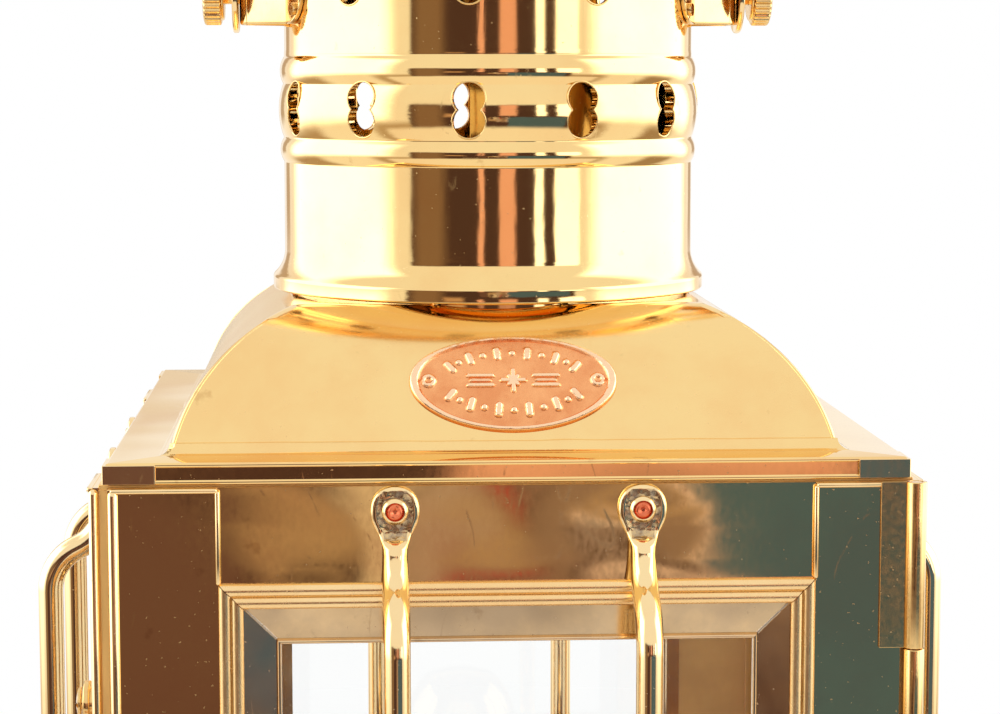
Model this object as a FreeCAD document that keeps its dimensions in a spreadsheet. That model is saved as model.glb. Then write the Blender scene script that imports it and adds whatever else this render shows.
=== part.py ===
import FreeCAD, Part
import math
import os
import re
import Sketcher

# Square brass ship lantern. Millimetres, +Z up, origin at the centre of the base, front door towards -Y.
# Every wall piece is drawn once in "wall space" (X along the wall, -Y out of it, Z from the window's
# centre) and then turned to its side of the body.

V = FreeCAD.Vector
doc = FreeCAD.newDocument("ship_lantern")
dims = doc.addObject("Spreadsheet::Sheet", "dims")

DIMENSIONS = [
    ("roof_z", 196.0, "top of the square roof plate"),
    ("roof_half", 90.0, "half width of the roof plate"),
    ("roof_rim", 5.0, "folded rim of the roof plate"),
    ("roof_sheet", 1.0, "sheet of the roof, hood and chimney"),
    ("eaves_gap", 0.6, "slit between the rim and the walls"),
    ("base_half", 100.0, "half width of the base skirt"),
    ("base_top", 12.0, "height of the base, and the lantern's floor"),
    ("wall_sheet", 1.2, "sheet of the walls and the door"),
    ("strip", 1.0, "thickness of the corner strips"),
    ("side_in", 91.8, "inside face of the left and right walls"),
    ("end_in", 88.9, "inside face of the door and the back wall"),
    ("window_z", 101.2, "height of the window's centre"),
    ("glass_half", 53.4, "half of the clear window"),
    ("frame_half", 61.8, "half of the flat frame round the glass"),
    ("moulding_half", 67.3, "half of the reeded moulding round the frame"),
    ("moulding_rise", 1.8, "height of the reeds"),
    ("pane_half", 58.0, "half of the glass pane"),
    ("pane", 2.0, "thickness of the glass"),
    ("door_left", 89.6, "free edge of the door"),
    ("door_right", 88.9, "hinge edge of the door"),
    ("door_shift", 2.0, "how far the door's window stands from its centre line"),
    ("rod_radius", 3.05, "guard rod"),
    ("rod_reach", 17.0, "guard rod's straight run, from the wall"),
    ("rod_spread", 27.8, "guard rods, either side of the window's centre"),
    ("rod_straight", 53.8, "half of the guard rod's straight run"),
    ("rod_neck", 75.3, "where the guard rod leaves the wall"),
    ("head_centre", 83.7, "rivet in the guard rod's flattened head"),
    ("head_radius", 5.5, "flattened head"),
    ("head_sheet", 2.2, "flattened head's thickness"),
    ("hinge_x", 91.9, "hinge line"),
    ("hinge_y", -91.6, "hinge line"),
    ("knuckle", 2.4, "hinge barrel's radius"),
    ("leaf", 0.8, "hinge leaf's sheet"),
    ("pin_radius", 1.2, "hinge pin"),
    ("running", 0.05, "radial clearance of pins and studs"),
    ("latch_y", -78.0, "latch pivot"),
    ("latch_z", 139.0, "latch pivot"),
    ("keeper_y", -94.0, "keeper peg"),
    ("keeper_z", 129.0, "keeper peg"),
    ("hood_half", 76.6, "half width of the curved hood at its foot"),
    ("hood_radius", 42.9, "curve of the hood's panels"),
    ("hood_centre", 34.7, "centre of that curve, from the axis"),
    ("hood_drop", 9.1, "centre of that curve, below the roof plate"),
    ("hood_top", 31.35, "flat top of the hood, above the roof plate"),
    ("flue", 51.8, "chimney's radius"),
    ("vent_radius", 3.85, "one lobe of a figure-eight vent"),
    ("vent_pitch", 5.6, "between a vent's two lobes"),
    ("pivot_rise", 105.8, "bail pivot, above the roof plate"),
    ("ear_nose", 62.8, "outer face of the bail ear"),
    ("ear_tall", 15.0, "height of the ear's strap"),
    ("stud_radius", 2.3, "bail stud"),
    ("eye_radius", 9.5, "bail eye"),
    ("bail_half", 66.2, "bail's arms, from the axis"),
    ("bail_arm", 22.6, "straight part of the bail's arms"),
    ("bail_radius", 3.0, "bail rod"),
    ("nut_radius", 7.6, "thumb nut"),
    ("fount_radius", 40.0, "oil fount"),
    ("fount_top", 52.0, "shoulder of the fount"),
    ("filler_y", -28.0, "filler neck, from the axis"),
    ("wick_half", 9.5, "half width of the flat wick"),
    ("wick_thick", 3.0, "flat wick"),
    ("wheel_y", -5.2, "line of the wick wheel's shaft"),
    ("wheel_z", 61.0, "line of the wick wheel's shaft"),
]
for row, (alias, size, note) in enumerate(DIMENSIONS, start=1):
    dims.set(f"A{row}", note)
    dims.set(f"B{row}", str(size))
    dims.setAlias(f"B{row}", alias)
doc.recompute()

ALIASES = re.compile(r"\b(" + "|".join(alias for alias, _, _ in DIMENSIONS) + r")\b")
X, Y, Z = V(1, 0, 0), V(0, 1, 0), V(0, 0, 1)
parts = []          # the sub-parts, in the order they are made


# ---------------------------------------------------------------- building blocks

def bound(expression):
    """An expression in the sheet's names, as the document wants it."""
    return ALIASES.sub(r"dims.\1", str(expression))


def value(expression):
    return float(dims.evalExpression(bound(expression)))


def bind(obj, **sizes):
    for prop, expression in sizes.items():
        obj.setExpression(prop.replace("_", "."), bound(expression))


def move(obj, x=0, y=0, z=0):
    bind(obj, Placement_Base_x=x, Placement_Base_y=y, Placement_Base_z=z)


def box(x, y, z):
    """A block between two values each way."""
    obj = doc.addObject("Part::Box", "block")
    bind(obj, Length=f"({x[1]}) - ({x[0]})", Width=f"({y[1]}) - ({y[0]})", Height=f"({z[1]}) - ({z[0]})")
    move(obj, x[0], y[0], z[0])
    return obj


def cylinder(radius, length, x=0, y=0, z=0, along=Z):
    obj = doc.addObject("Part::Cylinder", "round")
    obj.Placement.Rotation = FreeCAD.Rotation(Z, along)
    bind(obj, Radius=radius, Height=length)
    move(obj, x, y, z)
    return obj


def fuse(*pieces):
    obj = doc.addObject("Part::MultiFuse", "joined")
    obj.Shapes = list(pieces)
    return obj


def group(*pieces):
    """Identical pieces that stay apart but share one sub-part."""
    obj = doc.addObject("Part::Compound", "group")
    obj.Links = list(pieces)
    return obj


def common(first, second):
    obj = doc.addObject("Part::MultiCommon", "shared")
    obj.Shapes = [first, second]
    return obj


def cut(base, *tools):
    obj = doc.addObject("Part::Cut", "cut")
    obj.Base = base
    obj.Tool = tools[0] if len(tools) == 1 else fuse(*tools)
    return obj


def turned(piece, degrees, axis=Z, x=0, y=0, z=0):
    """A linked copy of a piece, turned about an axis through a point."""
    obj = doc.addObject("Part::Compound", "turned")
    obj.Links = [piece]
    centre = V(value(x), value(y), value(z))
    turn = FreeCAD.Rotation(axis, degrees)
    obj.Placement = FreeCAD.Placement(centre - turn.multVec(centre), turn)
    return obj


def part(label, obj):
    """Names a finished sub-part."""
    obj.Label = label
    parts.append(obj)
    return obj


def arc_geometry(start, end, radius, turn):
    """Circle arc from start to end, shorter way round; turn is 1 anticlockwise, -1 clockwise."""
    chord = end - start
    rise = math.sqrt(max(radius ** 2 - (chord.Length / 2) ** 2, 0))
    side = V(-chord.y, chord.x, 0).normalize() * turn
    centre = (start + end) / 2 + side * rise
    first, last = (start, end) if turn > 0 else (end, start)
    angles = [math.atan2(p.y - centre.y, p.x - centre.x) for p in (first, last)]
    return Part.ArcOfCircle(Part.Circle(centre, Z, radius), *angles)


def pin_vertex(sketch, geometry, end, point):
    """Holds one end of a line or arc at a point given in the sheet's names."""
    for kind, axis, expression in (("DistanceX", -2, point[0]), ("DistanceY", -1, point[1])):
        if abs(value(expression)) < 1e-9:
            sketch.addConstraint(Sketcher.Constraint("PointOnObject", geometry, end, axis))
            continue
        size = Sketcher.Constraint(kind, -1, 1, geometry, end, value(expression))
        number = sketch.addConstraint(size)
        sketch.setExpression(f"Constraints[{number}]", bound(expression))


def sketch_on(body, plane, outline, closed=True):
    """A constrained outline: (x, y) ends a line there, (x, y, radius, turn) ends an arc there."""
    sketch = body.newObject("Sketcher::SketchObject", "outline")
    origin_plane = next(f for f in body.Origin.OriginFeatures if f.Role == plane)
    sketch.AttachmentSupport = [(origin_plane, "")]
    sketch.MapMode = "FlatFace"
    ends = [V(value(step[0]), value(step[1]), 0) for step in outline]
    runs = []
    for number, step in enumerate(outline):
        if number == 0 and not closed:
            continue
        start, end = ends[number - 1], ends[number]
        if len(step) == 2:
            geometry = sketch.addGeometry(Part.LineSegment(start, end), False)
            runs.append((geometry, 1, 2, step))
            continue
        radius, turn = step[2:]
        geometry = sketch.addGeometry(arc_geometry(start, end, value(radius), turn), False)
        number = sketch.addConstraint(Sketcher.Constraint("Radius", geometry, value(radius)))
        sketch.setExpression(f"Constraints[{number}]", bound(radius))
        runs.append((geometry, 1, 2, step) if turn > 0 else (geometry, 2, 1, step))
    joints = list(zip(runs, runs[1:])) + ([(runs[-1], runs[0])] if closed else [])
    for (geometry, _, end, step), (following, start, _, _) in joints:
        sketch.addConstraint(Sketcher.Constraint("Coincident", geometry, end, following, start))
        pin_vertex(sketch, geometry, end, step)
    if not closed:
        pin_vertex(sketch, runs[0][0], runs[0][1], outline[0])
        pin_vertex(sketch, runs[-1][0], runs[-1][2], outline[-1])
    return sketch


def revolved(outline):
    """Turns an (r, z) outline about the Z axis."""
    body = doc.addObject("PartDesign::Body", "turned_body")
    sketch = sketch_on(body, "XZ_Plane", outline)
    turn = body.newObject("PartDesign::Revolution", "revolution")
    turn.Profile = sketch
    turn.ReferenceAxis = (sketch, ["V_Axis"])
    turn.Angle = 360
    sketch.Visibility = False
    return body


def padded(plane, outline, length):
    """Pads an outline evenly both ways from one of the body's planes."""
    body = doc.addObject("PartDesign::Body", "padded_body")
    sketch = sketch_on(body, plane, outline)
    pad = body.newObject("PartDesign::Pad", "pad")
    pad.Profile = sketch
    pad.Midplane = True
    bind(pad, Length=length)
    return body


def pipe(plane, route, radius, start):
    """A round rod along a route drawn on a plane; start is where its upright first run begins."""
    body = doc.addObject("PartDesign::Body", "rod_body")
    path = sketch_on(body, plane, route, closed=False)
    section = body.newObject("Sketcher::SketchObject", "section")
    flat = next(f for f in body.Origin.OriginFeatures if f.Role == "XY_Plane")
    section.AttachmentSupport = [(flat, "")]
    section.MapMode = "FlatFace"
    bind(section, AttachmentOffset_Base_x=start[0], AttachmentOffset_Base_y=start[1],
         AttachmentOffset_Base_z=start[2])
    circle = section.addGeometry(Part.Circle(V(), Z, value(radius)), False)
    section.addConstraint(Sketcher.Constraint("Coincident", circle, 3, -1, 1))
    number = section.addConstraint(Sketcher.Constraint("Radius", circle, value(radius)))
    section.setExpression(f"Constraints[{number}]", bound(radius))
    sweep = body.newObject("PartDesign::AdditivePipe", "sweep")
    sweep.Profile = section
    sweep.Spine = (path, [f"Edge{n + 1}" for n in range(path.GeometryCount)])
    return body


# ---------------------------------------------------------------- base and corners

def square_ring(half_out, half_in, z):
    return cut(box([f"-({half_out})", half_out], [f"-({half_out})", half_out], z),
               box([f"-({half_in})", half_in], [f"-({half_in})", half_in], [f"{z[0]} - 1", f"{z[1]} + 1"]))


def base_tray():
    """Inverted pan: floor at the top, cove in the skirt, turned-in foot."""
    skirt = [("-base_half", 0), ("base_half", 0), ("base_half", 2.5), ("base_half - 1.2", 3.7),
             ("base_half - 4.5", "base_top - 1.5", 9, -1), ("base_half - 4.5", "base_top"),
             ("4.5 - base_half", "base_top"), ("4.5 - base_half", "base_top - 1.5"),
             ("1.2 - base_half", 3.7, 9, -1), ("-base_half", 2.5)]
    length = "2 * base_half + 2"
    outer = common(padded("XZ_Plane", skirt, length), padded("YZ_Plane", skirt, length))
    hollow = ["5.9 - base_half", "base_half - 5.9"]
    foot = ["12 - base_half", "base_half - 12"]
    inside = box(hollow, hollow, [1.2, "base_top - wall_sheet"])
    return part("base_tray", cut(outer, inside, box(foot, foot, [-1, 2])))


def lamp_ring():
    """Ring on the floor that the fount drops into."""
    inner, wall, flange = "fount_radius + 0.6", "fount_radius + 1.6", "fount_radius + 3"
    outline = [(inner, "base_top"), (flange, "base_top"), (flange, "base_top + 1"),
               (wall, "base_top + 1"), (wall, "base_top + 6"), (inner, "base_top + 6")]
    return part("lamp_ring", revolved(outline))


def corner_posts():
    """Four angles that join the walls; the front pair is the door's stop."""
    posts = []
    height = ["base_top", "roof_z - roof_rim - 1.2"]
    for across in (-1, 1):
        for back in (-1, 1):
            # the front pair stands clear of the closed door
            end = "end_in - 0.4" if back < 0 else "end_in"
            xs = sorted([f"{across} * side_in", f"{across} * (side_in - 10)"], key=value)
            ys = sorted([f"{back} * ({end})", f"{back} * ({end} - 10)"], key=value)
            inner_x = sorted([f"{across} * (side_in - 1)", f"{across} * (side_in - 12)"], key=value)
            inner_y = sorted([f"{back} * ({end} - 1)", f"{back} * ({end} - 12)"], key=value)
            posts.append(cut(box(xs, ys, height), box(inner_x, inner_y, ["base_top - 1", "roof_z"])))
    return part("corner_posts", group(*posts))


# ---------------------------------------------------------------- walls, in wall space

WALLS = {
    # name: (turn about Z, outer face of the sheet, window's shift, free edges left and right)
    "front": (0, "end_in + wall_sheet", "door_shift", "-door_left", "door_right"),
    "right": (90, "side_in + wall_sheet", 0, "-end_in", "end_in"),
    "back": (180, "end_in + wall_sheet", 0, "-side_in - wall_sheet", "side_in + wall_sheet"),
    "left": (-90, "side_in + wall_sheet", 0, "-end_in", "end_in"),
}


def stand(obj, wall):
    """Moves a wall piece from wall space to its side of the body."""
    turn, face, shift, _, _ = WALLS[wall]
    obj.Placement.Rotation = FreeCAD.Rotation(Z, turn)
    angle = math.radians(turn)
    along, across = round(math.cos(angle)), round(math.sin(angle))
    x, y = f"{along} * ({shift}) + {across} * ({face})", f"{across} * ({shift}) - {along} * ({face})"
    move(obj, x, y, "window_z")
    return obj


def wall_edges(wall):
    """Left, right, bottom and top edges of a wall's sheet, in wall space."""
    _, _, shift, left, right = WALLS[wall]
    bottom = "base_top + 0.5 - window_z" if wall == "front" else "base_top - window_z"
    top = "roof_z - roof_rim - eaves_gap - window_z"
    return f"({left}) - ({shift})", f"({right}) - ({shift})", bottom, top


def wall_panel(wall, label):
    left, right, bottom, top = wall_edges(wall)
    sheet = box([left, right], [0, "wall_sheet"], [bottom, top])
    opening = box(["-frame_half", "frame_half"], [-1, "wall_sheet + 1"], ["-frame_half", "frame_half"])
    holes = [cylinder("stud_radius - 0.5", 6, f"{across} * rod_spread", -2, f"{up} * head_centre", Y)
             for across in (-1, 1) for up in (-1, 1)]
    return part(label, stand(cut(sheet, opening, *holes), wall))


def wall_strips(wall, label):
    """The raised strips up both edges of a wall, outside the moulding."""
    left, right, bottom, top = wall_edges(wall)
    strips = [box([left, "-moulding_half"], ["-strip", 0], [bottom, top]),
              box(["moulding_half", right], ["-strip", 0], [bottom, top])]
    return part(label, stand(group(*strips), wall))


def window_moulding(wall, label):
    """Two-reed moulding: a mitred square of half-round reeds round the window."""
    pitch = "(moulding_half - frame_half) / 2"
    reeds = []
    for step in (0, 1):
        inner = f"frame_half + {step} * {pitch}"
        outer = f"frame_half + {step + 1} * {pitch}"
        middle = f"frame_half + {step + 0.5} * {pitch}"
        for out, inside, depth in ((outer, inner, "moulding_rise * 0.6"),
                                   (f"{middle} + 0.9", f"{middle} - 0.9", "moulding_rise")):
            span, way = [f"-({out})", out], [f"-({inside})", inside]
            reeds.append(cut(box(span, [f"-({depth})", 0], span), box(way, ["-moulding_rise - 1", 1], way)))
    return part(label, stand(fuse(*reeds), wall))


def window_frame(wall, label):
    """Flat frame set into the wall, with a thin lip along the glass."""
    clear = ["-glass_half", "glass_half"]
    whole, edge = ["-frame_half", "frame_half"], ["-glass_half - 0.9", "glass_half + 0.9"]
    ring = cut(box(whole, [0.8, "wall_sheet + 0.8"], whole), box(clear, [-1, 4], clear))
    lip = cut(box(edge, [0.2, 0.9], edge), box(clear, [-1, 4], clear))
    return part(label, stand(fuse(ring, lip), wall))


def window_pane(wall, label):
    sheet = box(["-pane_half", "pane_half"], ["wall_sheet + 0.8", "wall_sheet + 0.8 + pane"],
                ["-pane_half", "pane_half"])
    return part(label, stand(group(sheet), wall))


def guard_rod(wall, side, label):
    """A bent guard rod with a flattened, drilled head at each end."""
    rise, run = "(rod_reach - rod_radius)", "(rod_neck - rod_straight)"
    bend = f"({rise} ^ 2 + {run} ^ 2) / (4 * {rise})"
    middle_y = "-(rod_reach + rod_radius) / 2"
    middle_z = "(rod_neck + rod_straight) / 2"
    route = [("-rod_radius", "head_centre - 4"), ("-rod_radius", "rod_neck"),
             (middle_y, middle_z, bend, -1), ("-rod_reach", "rod_straight", bend, 1),
             ("-rod_reach", "-rod_straight"), (middle_y, f"-{middle_z}", bend, 1),
             ("-rod_radius", "-rod_neck", bend, -1), ("-rod_radius", "4 - head_centre")]
    rod = pipe("YZ_Plane", route, "rod_radius", (0, "-rod_radius", "head_centre - 4"))
    pieces = [rod]
    for up in (-1, 1):
        neck = sorted([f"{up} * rod_neck", f"{up} * head_centre"], key=value)
        pieces.append(cylinder("head_radius", "head_sheet", 0, 0, f"{up} * head_centre", V(0, -1, 0)))
        pieces.append(box(["-rod_radius", "rod_radius"], ["-head_sheet", 0], neck))
    drills = [cylinder("stud_radius - 0.5", 20, 0, 1, f"{up} * head_centre", V(0, -1, 0)) for up in (-1, 1)]
    drilled = cut(fuse(*pieces), *drills)
    aside = doc.addObject("Part::Compound", "aside")
    aside.Links = [drilled]
    move(aside, f"{side} * rod_spread")
    return part(label, stand(group(aside), wall))


def rivets(walls, label):
    """Rivets through the guard rods' heads, with a low head outside and a burr inside."""
    made = []
    for wall in walls:
        for across in (-1, 1):
            for up in (-1, 1):
                x, z = f"{across} * rod_spread", f"{up} * head_centre"
                rivet = fuse(cylinder(2.9, 0.8, x, "-head_sheet", z, V(0, -1, 0)),
                             cylinder("stud_radius - 0.5 - running", "head_sheet + wall_sheet + 0.4", x,
                                      "wall_sheet + 0.2", z, V(0, -1, 0)),
                             cylinder(2.6, 0.7, x, "wall_sheet + 0.7", z, V(0, -1, 0)))
                made.append(stand(group(rivet), wall))
    return part(label, group(*made))


# ---------------------------------------------------------------- hinge and latch

KNUCKLES = 5
TOP_KNUCKLE = 38.4      # the first knuckle is longer than the four below it


def knuckle_span(number):
    """Heights of one of the hinge's five knuckles, from the top."""
    top = "roof_z - roof_rim - 0.4"
    pitch = f"(roof_z - roof_rim - base_top - 1 - {TOP_KNUCKLE}) / {KNUCKLES - 1}"
    low = f"{top} - {TOP_KNUCKLE} - {number} * {pitch}"
    high = f"{low} + {pitch}" if number else top
    return f"{low} + 0.25", high


def hinge_leaf(numbers, on_door, label):
    """Knuckles with their leaf: on the door's front, or round on the right wall's outside."""
    pieces = []
    for number in numbers:
        low, high = knuckle_span(number)
        pieces.append(cylinder("knuckle", f"{high} - ({low})", "hinge_x", "hinge_y", low))
        if on_door:
            face = "-end_in - wall_sheet - strip"
            pieces.append(box(["door_right - 5", "hinge_x - 1.5"], [f"{face} - leaf", face], [low, high]))
        else:
            face = "side_in + wall_sheet + strip"
            pieces.append(box([face, f"{face} + leaf"], ["hinge_y", "hinge_y + 14"], [low, high]))
    bore = cylinder("pin_radius + running", "roof_z", "hinge_x", "hinge_y", 0)
    return part(label, cut(fuse(*pieces), bore))


def hinge_pin():
    low, high = knuckle_span(KNUCKLES - 1)[0], knuckle_span(0)[1]
    rod = cylinder("pin_radius", f"{high} - ({low}) - 0.2", "hinge_x", "hinge_y", f"{low} + 0.1")
    return part("hinge_pin", rod)


def keeper():
    """Lug on the door's free edge with a peg that stands out past the left wall."""
    face = "-end_in - wall_sheet - strip"
    lug = box(["-door_left + 1", "-door_left + 7"], ["keeper_y - 2.2", face],
              ["keeper_z - 4", "keeper_z + 4"])
    peg = cylinder(1.5, 11, "-door_left + 2", "keeper_y", "keeper_z", V(-1, 0, 0))
    knob = cylinder(2.4, 1.8, "-door_left - 8.6", "keeper_y", "keeper_z", V(-1, 0, 0))
    return part("keeper", fuse(lug, peg, knob))


def latch_disc(radius, x, length):
    return cylinder(radius, length, x, "latch_y", "latch_z", V(-1, 0, 0))


def latch():
    """Turn hook on the left wall: its round slot swings over the keeper's peg."""
    face = "-side_in - wall_sheet - strip"
    reach = "sqrt((keeper_y - latch_y) ^ 2 + (keeper_z - latch_z) ^ 2)"
    plate_x = f"{face} - 1.3"
    blade = cut(latch_disc(f"{reach} + 4.4", plate_x, 1.5), latch_disc(f"{reach} - 5", f"{plate_x} + 1", 4))
    window = box([f"{plate_x} - 3", f"{plate_x} + 2"], ["latch_y - 8.5", "latch_y + 8.5"],
                 ["latch_z - 40", "latch_z"])
    slot_ring = cut(latch_disc(f"{reach} + 2.3", f"{plate_x} + 1", 4),
                    latch_disc(f"{reach} - 2.3", f"{plate_x} + 2", 6))
    slot = common(slot_ring, box([f"{plate_x} - 4", f"{plate_x} + 2"], ["latch_y - 12", "latch_y + 4"],
                                 ["latch_z - 40", "latch_z"]))
    arm = box([f"{plate_x} - 1.5", plate_x], ["latch_y - 3.2", "latch_y + 3.2"],
              [f"latch_z - {reach} + 4.5", "latch_z"])
    eye = latch_disc(5, plate_x, 1.5)
    bore = latch_disc("1.6 + running", f"{plate_x} + 1", 4)
    part("latch_hook", cut(fuse(cut(common(blade, window), slot), arm, eye), bore))
    boss, shank = latch_disc(3.4, face, 1.0), latch_disc(1.6, face, 3.4)
    part("latch_screw", fuse(boss, shank, latch_disc(3.6, f"{face} - 3.1", 1.6)))


# ---------------------------------------------------------------- roof, hood and chimney

def roof_plate():
    """Square plate with a folded rim and a square way up into the hood."""
    half = ["-roof_half", "roof_half"]
    inside = ["roof_sheet - roof_half", "roof_half - roof_sheet"]
    way = ["-hood_half + 10", "hood_half - 10"]
    plate = cut(box(half, half, ["roof_z - roof_rim", "roof_z"]),
                box(inside, inside, ["roof_z - roof_rim - 1", "roof_z - roof_sheet"]),
                box(way, way, ["roof_z - 3", "roof_z + 1"]))
    return part("roof_plate", plate)


def eaves_ring():
    """Inner flange that carries the roof plate on the walls."""
    z = ["roof_z - roof_rim - 1.2", "roof_z - roof_rim"]
    way = ["-hood_half", "hood_half"]
    ring = cut(box(["-side_in", "side_in"], ["0.5 - end_in", "end_in"], z),
               box(way, way, ["roof_z - roof_rim - 3", "roof_z"]))
    return part("eaves_ring", ring)


def roof_corners():
    """Four small patches soldered over the rim's corners."""
    patches = []
    for across in (-1, 1):
        for back in (-1, 1):
            xs = sorted([f"{across} * (roof_half - 11)", f"{across} * (roof_half + 0.8)"], key=value)
            ys = sorted([f"{back} * (roof_half - 11)", f"{back} * (roof_half + 0.8)"], key=value)
            keep_x = sorted([f"{across} * (roof_half - 20)", f"{across} * roof_half"], key=value)
            keep_y = sorted([f"{back} * (roof_half - 20)", f"{back} * roof_half"], key=value)
            height = ["roof_z - roof_rim + 0.3", "roof_z - 0.4"]
            patches.append(cut(box(xs, ys, height), box(keep_x, keep_y, ["roof_z - 8", "roof_z + 2"])))
    return part("roof_corners", group(*patches))


def hood_outline(sheet):
    """Cross-section of the hood, a given sheet inside its outer face."""
    radius = f"(hood_radius - {sheet})"
    foot = f"(hood_centre + sqrt({radius} ^ 2 - hood_drop ^ 2))"
    top = f"(hood_top - {sheet})"
    edge = f"(hood_centre + sqrt({radius} ^ 2 - ({top} + hood_drop) ^ 2))"
    return [(foot, "roof_z"), (edge, f"roof_z + {top}", radius, 1),
            (f"-{edge}", f"roof_z + {top}"), (f"-{foot}", "roof_z", radius, 1)]


def vault(sheet):
    """Four curved panels meeting at mitred hips: one arched prism across another."""
    outline, length = hood_outline(sheet), "2 * hood_half + 4"
    return common(padded("XZ_Plane", outline, length), padded("YZ_Plane", outline, length))


def hood():
    throat = cylinder("flue - 0.4", 20, 0, 0, "roof_z + hood_top - 10")
    return part("hood", cut(vault(0), vault("roof_sheet"), throat))


def badge():
    """Oval plate that follows the curve of the hood's front panel."""
    shell = cylinder("hood_radius + 1.2", 60, -28, "-hood_centre", "roof_z - hood_drop", X)
    core = cylinder("hood_radius", 70, -33, "-hood_centre", "roof_z - hood_drop", X)
    oval = doc.addObject("Part::Ellipse", "oval")
    bind(oval, MajorRadius=24, MinorRadius=12.3)
    punch = doc.addObject("Part::Extrusion", "punch")
    punch.Base = oval
    punch.DirMode = "Custom"
    punch.Dir = Z
    punch.LengthFwd = 30
    punch.Solid = True
    lean = math.degrees(math.atan2(24.4, 35.3))
    punch.Placement.Rotation = FreeCAD.Rotation(X, 90 - lean)
    move(punch, 2, "-hood_centre - 26", "roof_z - hood_drop + 18")
    return part("badge", common(cut(shell, core), punch))


def bead(z, rise, half):
    """Outline steps up a round bead on the chimney, centred at a height above the roof plate."""
    radius = f"(({half}) ^ 2 + ({rise}) ^ 2) / (2 * ({rise}))"
    return [("flue + 0.4", f"roof_z + {z} - {half}"), ("flue + 0.4", f"roof_z + {z} + {half}", radius, 1)]


def vents(height, angles, radius):
    """Figure-eight punches through one wall of the chimney."""
    punches = []
    for angle in angles:
        across, along = math.sin(math.radians(angle)), -math.cos(math.radians(angle))
        for lobe in (-0.5, 0.5):
            punches.append(cylinder("vent_radius", 14, f"{across:.6f} * {radius}", f"{along:.6f} * {radius}",
                                    f"roof_z + {height} + {lobe} * vent_pitch", V(across, along, 0)))
    return punches


VENT_PHASE = -8.0
EAR_BLOCKED = 30.0      # no upper vents within this angle of the bail ears


def chimney_tube():
    """Spun flue: flared foot, two beads with a bulged vent band between, and a row of vents above."""
    outline = [("flue - 1.0", "roof_z + hood_top - 3"), ("flue - 0.5", "roof_z + hood_top - 3"),
               ("flue - 0.5", "roof_z + hood_top + 1.4"), ("flue + 3.2", "roof_z + hood_top + 1.6"),
               ("flue + 3.2", "roof_z + 35"), ("flue + 0.2", "roof_z + 41.5", 9, -1)]
    outline += bead(67, 1.1, 2.7)
    outline += [("flue + 0.6", "roof_z + 71"), ("flue + 0.6", "roof_z + 83", 20, 1)]
    outline += bead(86.8, 1.1, 3.0)
    outline += [("flue", "roof_z + 92"), ("flue", "roof_z + 126"), ("flue - 1.0", "roof_z + 126"),
                ("flue - 1.0", "roof_z + 42"), ("flue + 1.6", "roof_z + 36.5"),
                ("flue + 1.6", "roof_z + hood_top + 2.8"), ("flue - 1.0", "roof_z + hood_top + 2.6")]
    lower = [VENT_PHASE + 30 * n for n in range(-2, 3)]
    lower += [VENT_PHASE + 97.5 * side for side in (-1, 1)]
    lower += [VENT_PHASE + 180 + 30 * (n + 0.5) for n in range(-2, 2)]
    upper = [VENT_PHASE + 35 * n for n in range(-1, 2)] + [180 + VENT_PHASE + 35 * n for n in range(-1, 2)]
    upper = [angle for angle in upper if abs(abs(angle % 180) - 90) > EAR_BLOCKED]
    punches = vents(77.5, lower, "(flue - 6)") + vents(109, upper, "(flue - 6)")
    return part("chimney_tube", cut(revolved(outline), *punches))


def chimney_cap():
    """Spun cap: rolled rim, dome, step and ball finial."""
    ball_radius, ball_z, foot_angle = 5, 160.5, math.radians(50)
    foot_z = ball_z - ball_radius * math.sin(foot_angle)
    ball_foot = (ball_radius * math.cos(foot_angle), f"roof_z + {foot_z}")
    outline = [("flue + 0.1", "roof_z + 119"), ("flue + 1.3", "roof_z + 119"), ("flue + 1.3", "roof_z + 123"),
               ("flue + 4.6", "roof_z + 125.5", 3.6, 1), ("flue + 4.6", "roof_z + 128", 1.6, 1),
               ("flue + 1.5", "roof_z + 129.5"), (24, "roof_z + 147", 62, 1), (24, "roof_z + 149.5"),
               (12, "roof_z + 153.5", 18, 1), (5.2, "roof_z + 155.4"), ball_foot,
               (0, f"roof_z + {ball_z + ball_radius}", ball_radius, 1), (0, "roof_z + 152"),
               (11, "roof_z + 151.6"),
               (22.5, "roof_z + 147.2"), (22.5, "roof_z + 146"), ("flue + 0.4", "roof_z + 128.6", 61, -1),
               ("flue + 0.1", "roof_z + 126.5")]
    return part("chimney_cap", revolved(outline))


# ---------------------------------------------------------------- bail

PIVOT = "(roof_z + pivot_rise)"


def along_x(radius, start, end, side):
    """A round piece on the bail's axis, between two distances from the chimney's axis."""
    return cylinder(radius, f"({end}) - ({start})", f"{side} * ({start})", 0, PIVOT, V(side, 0, 0))


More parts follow.
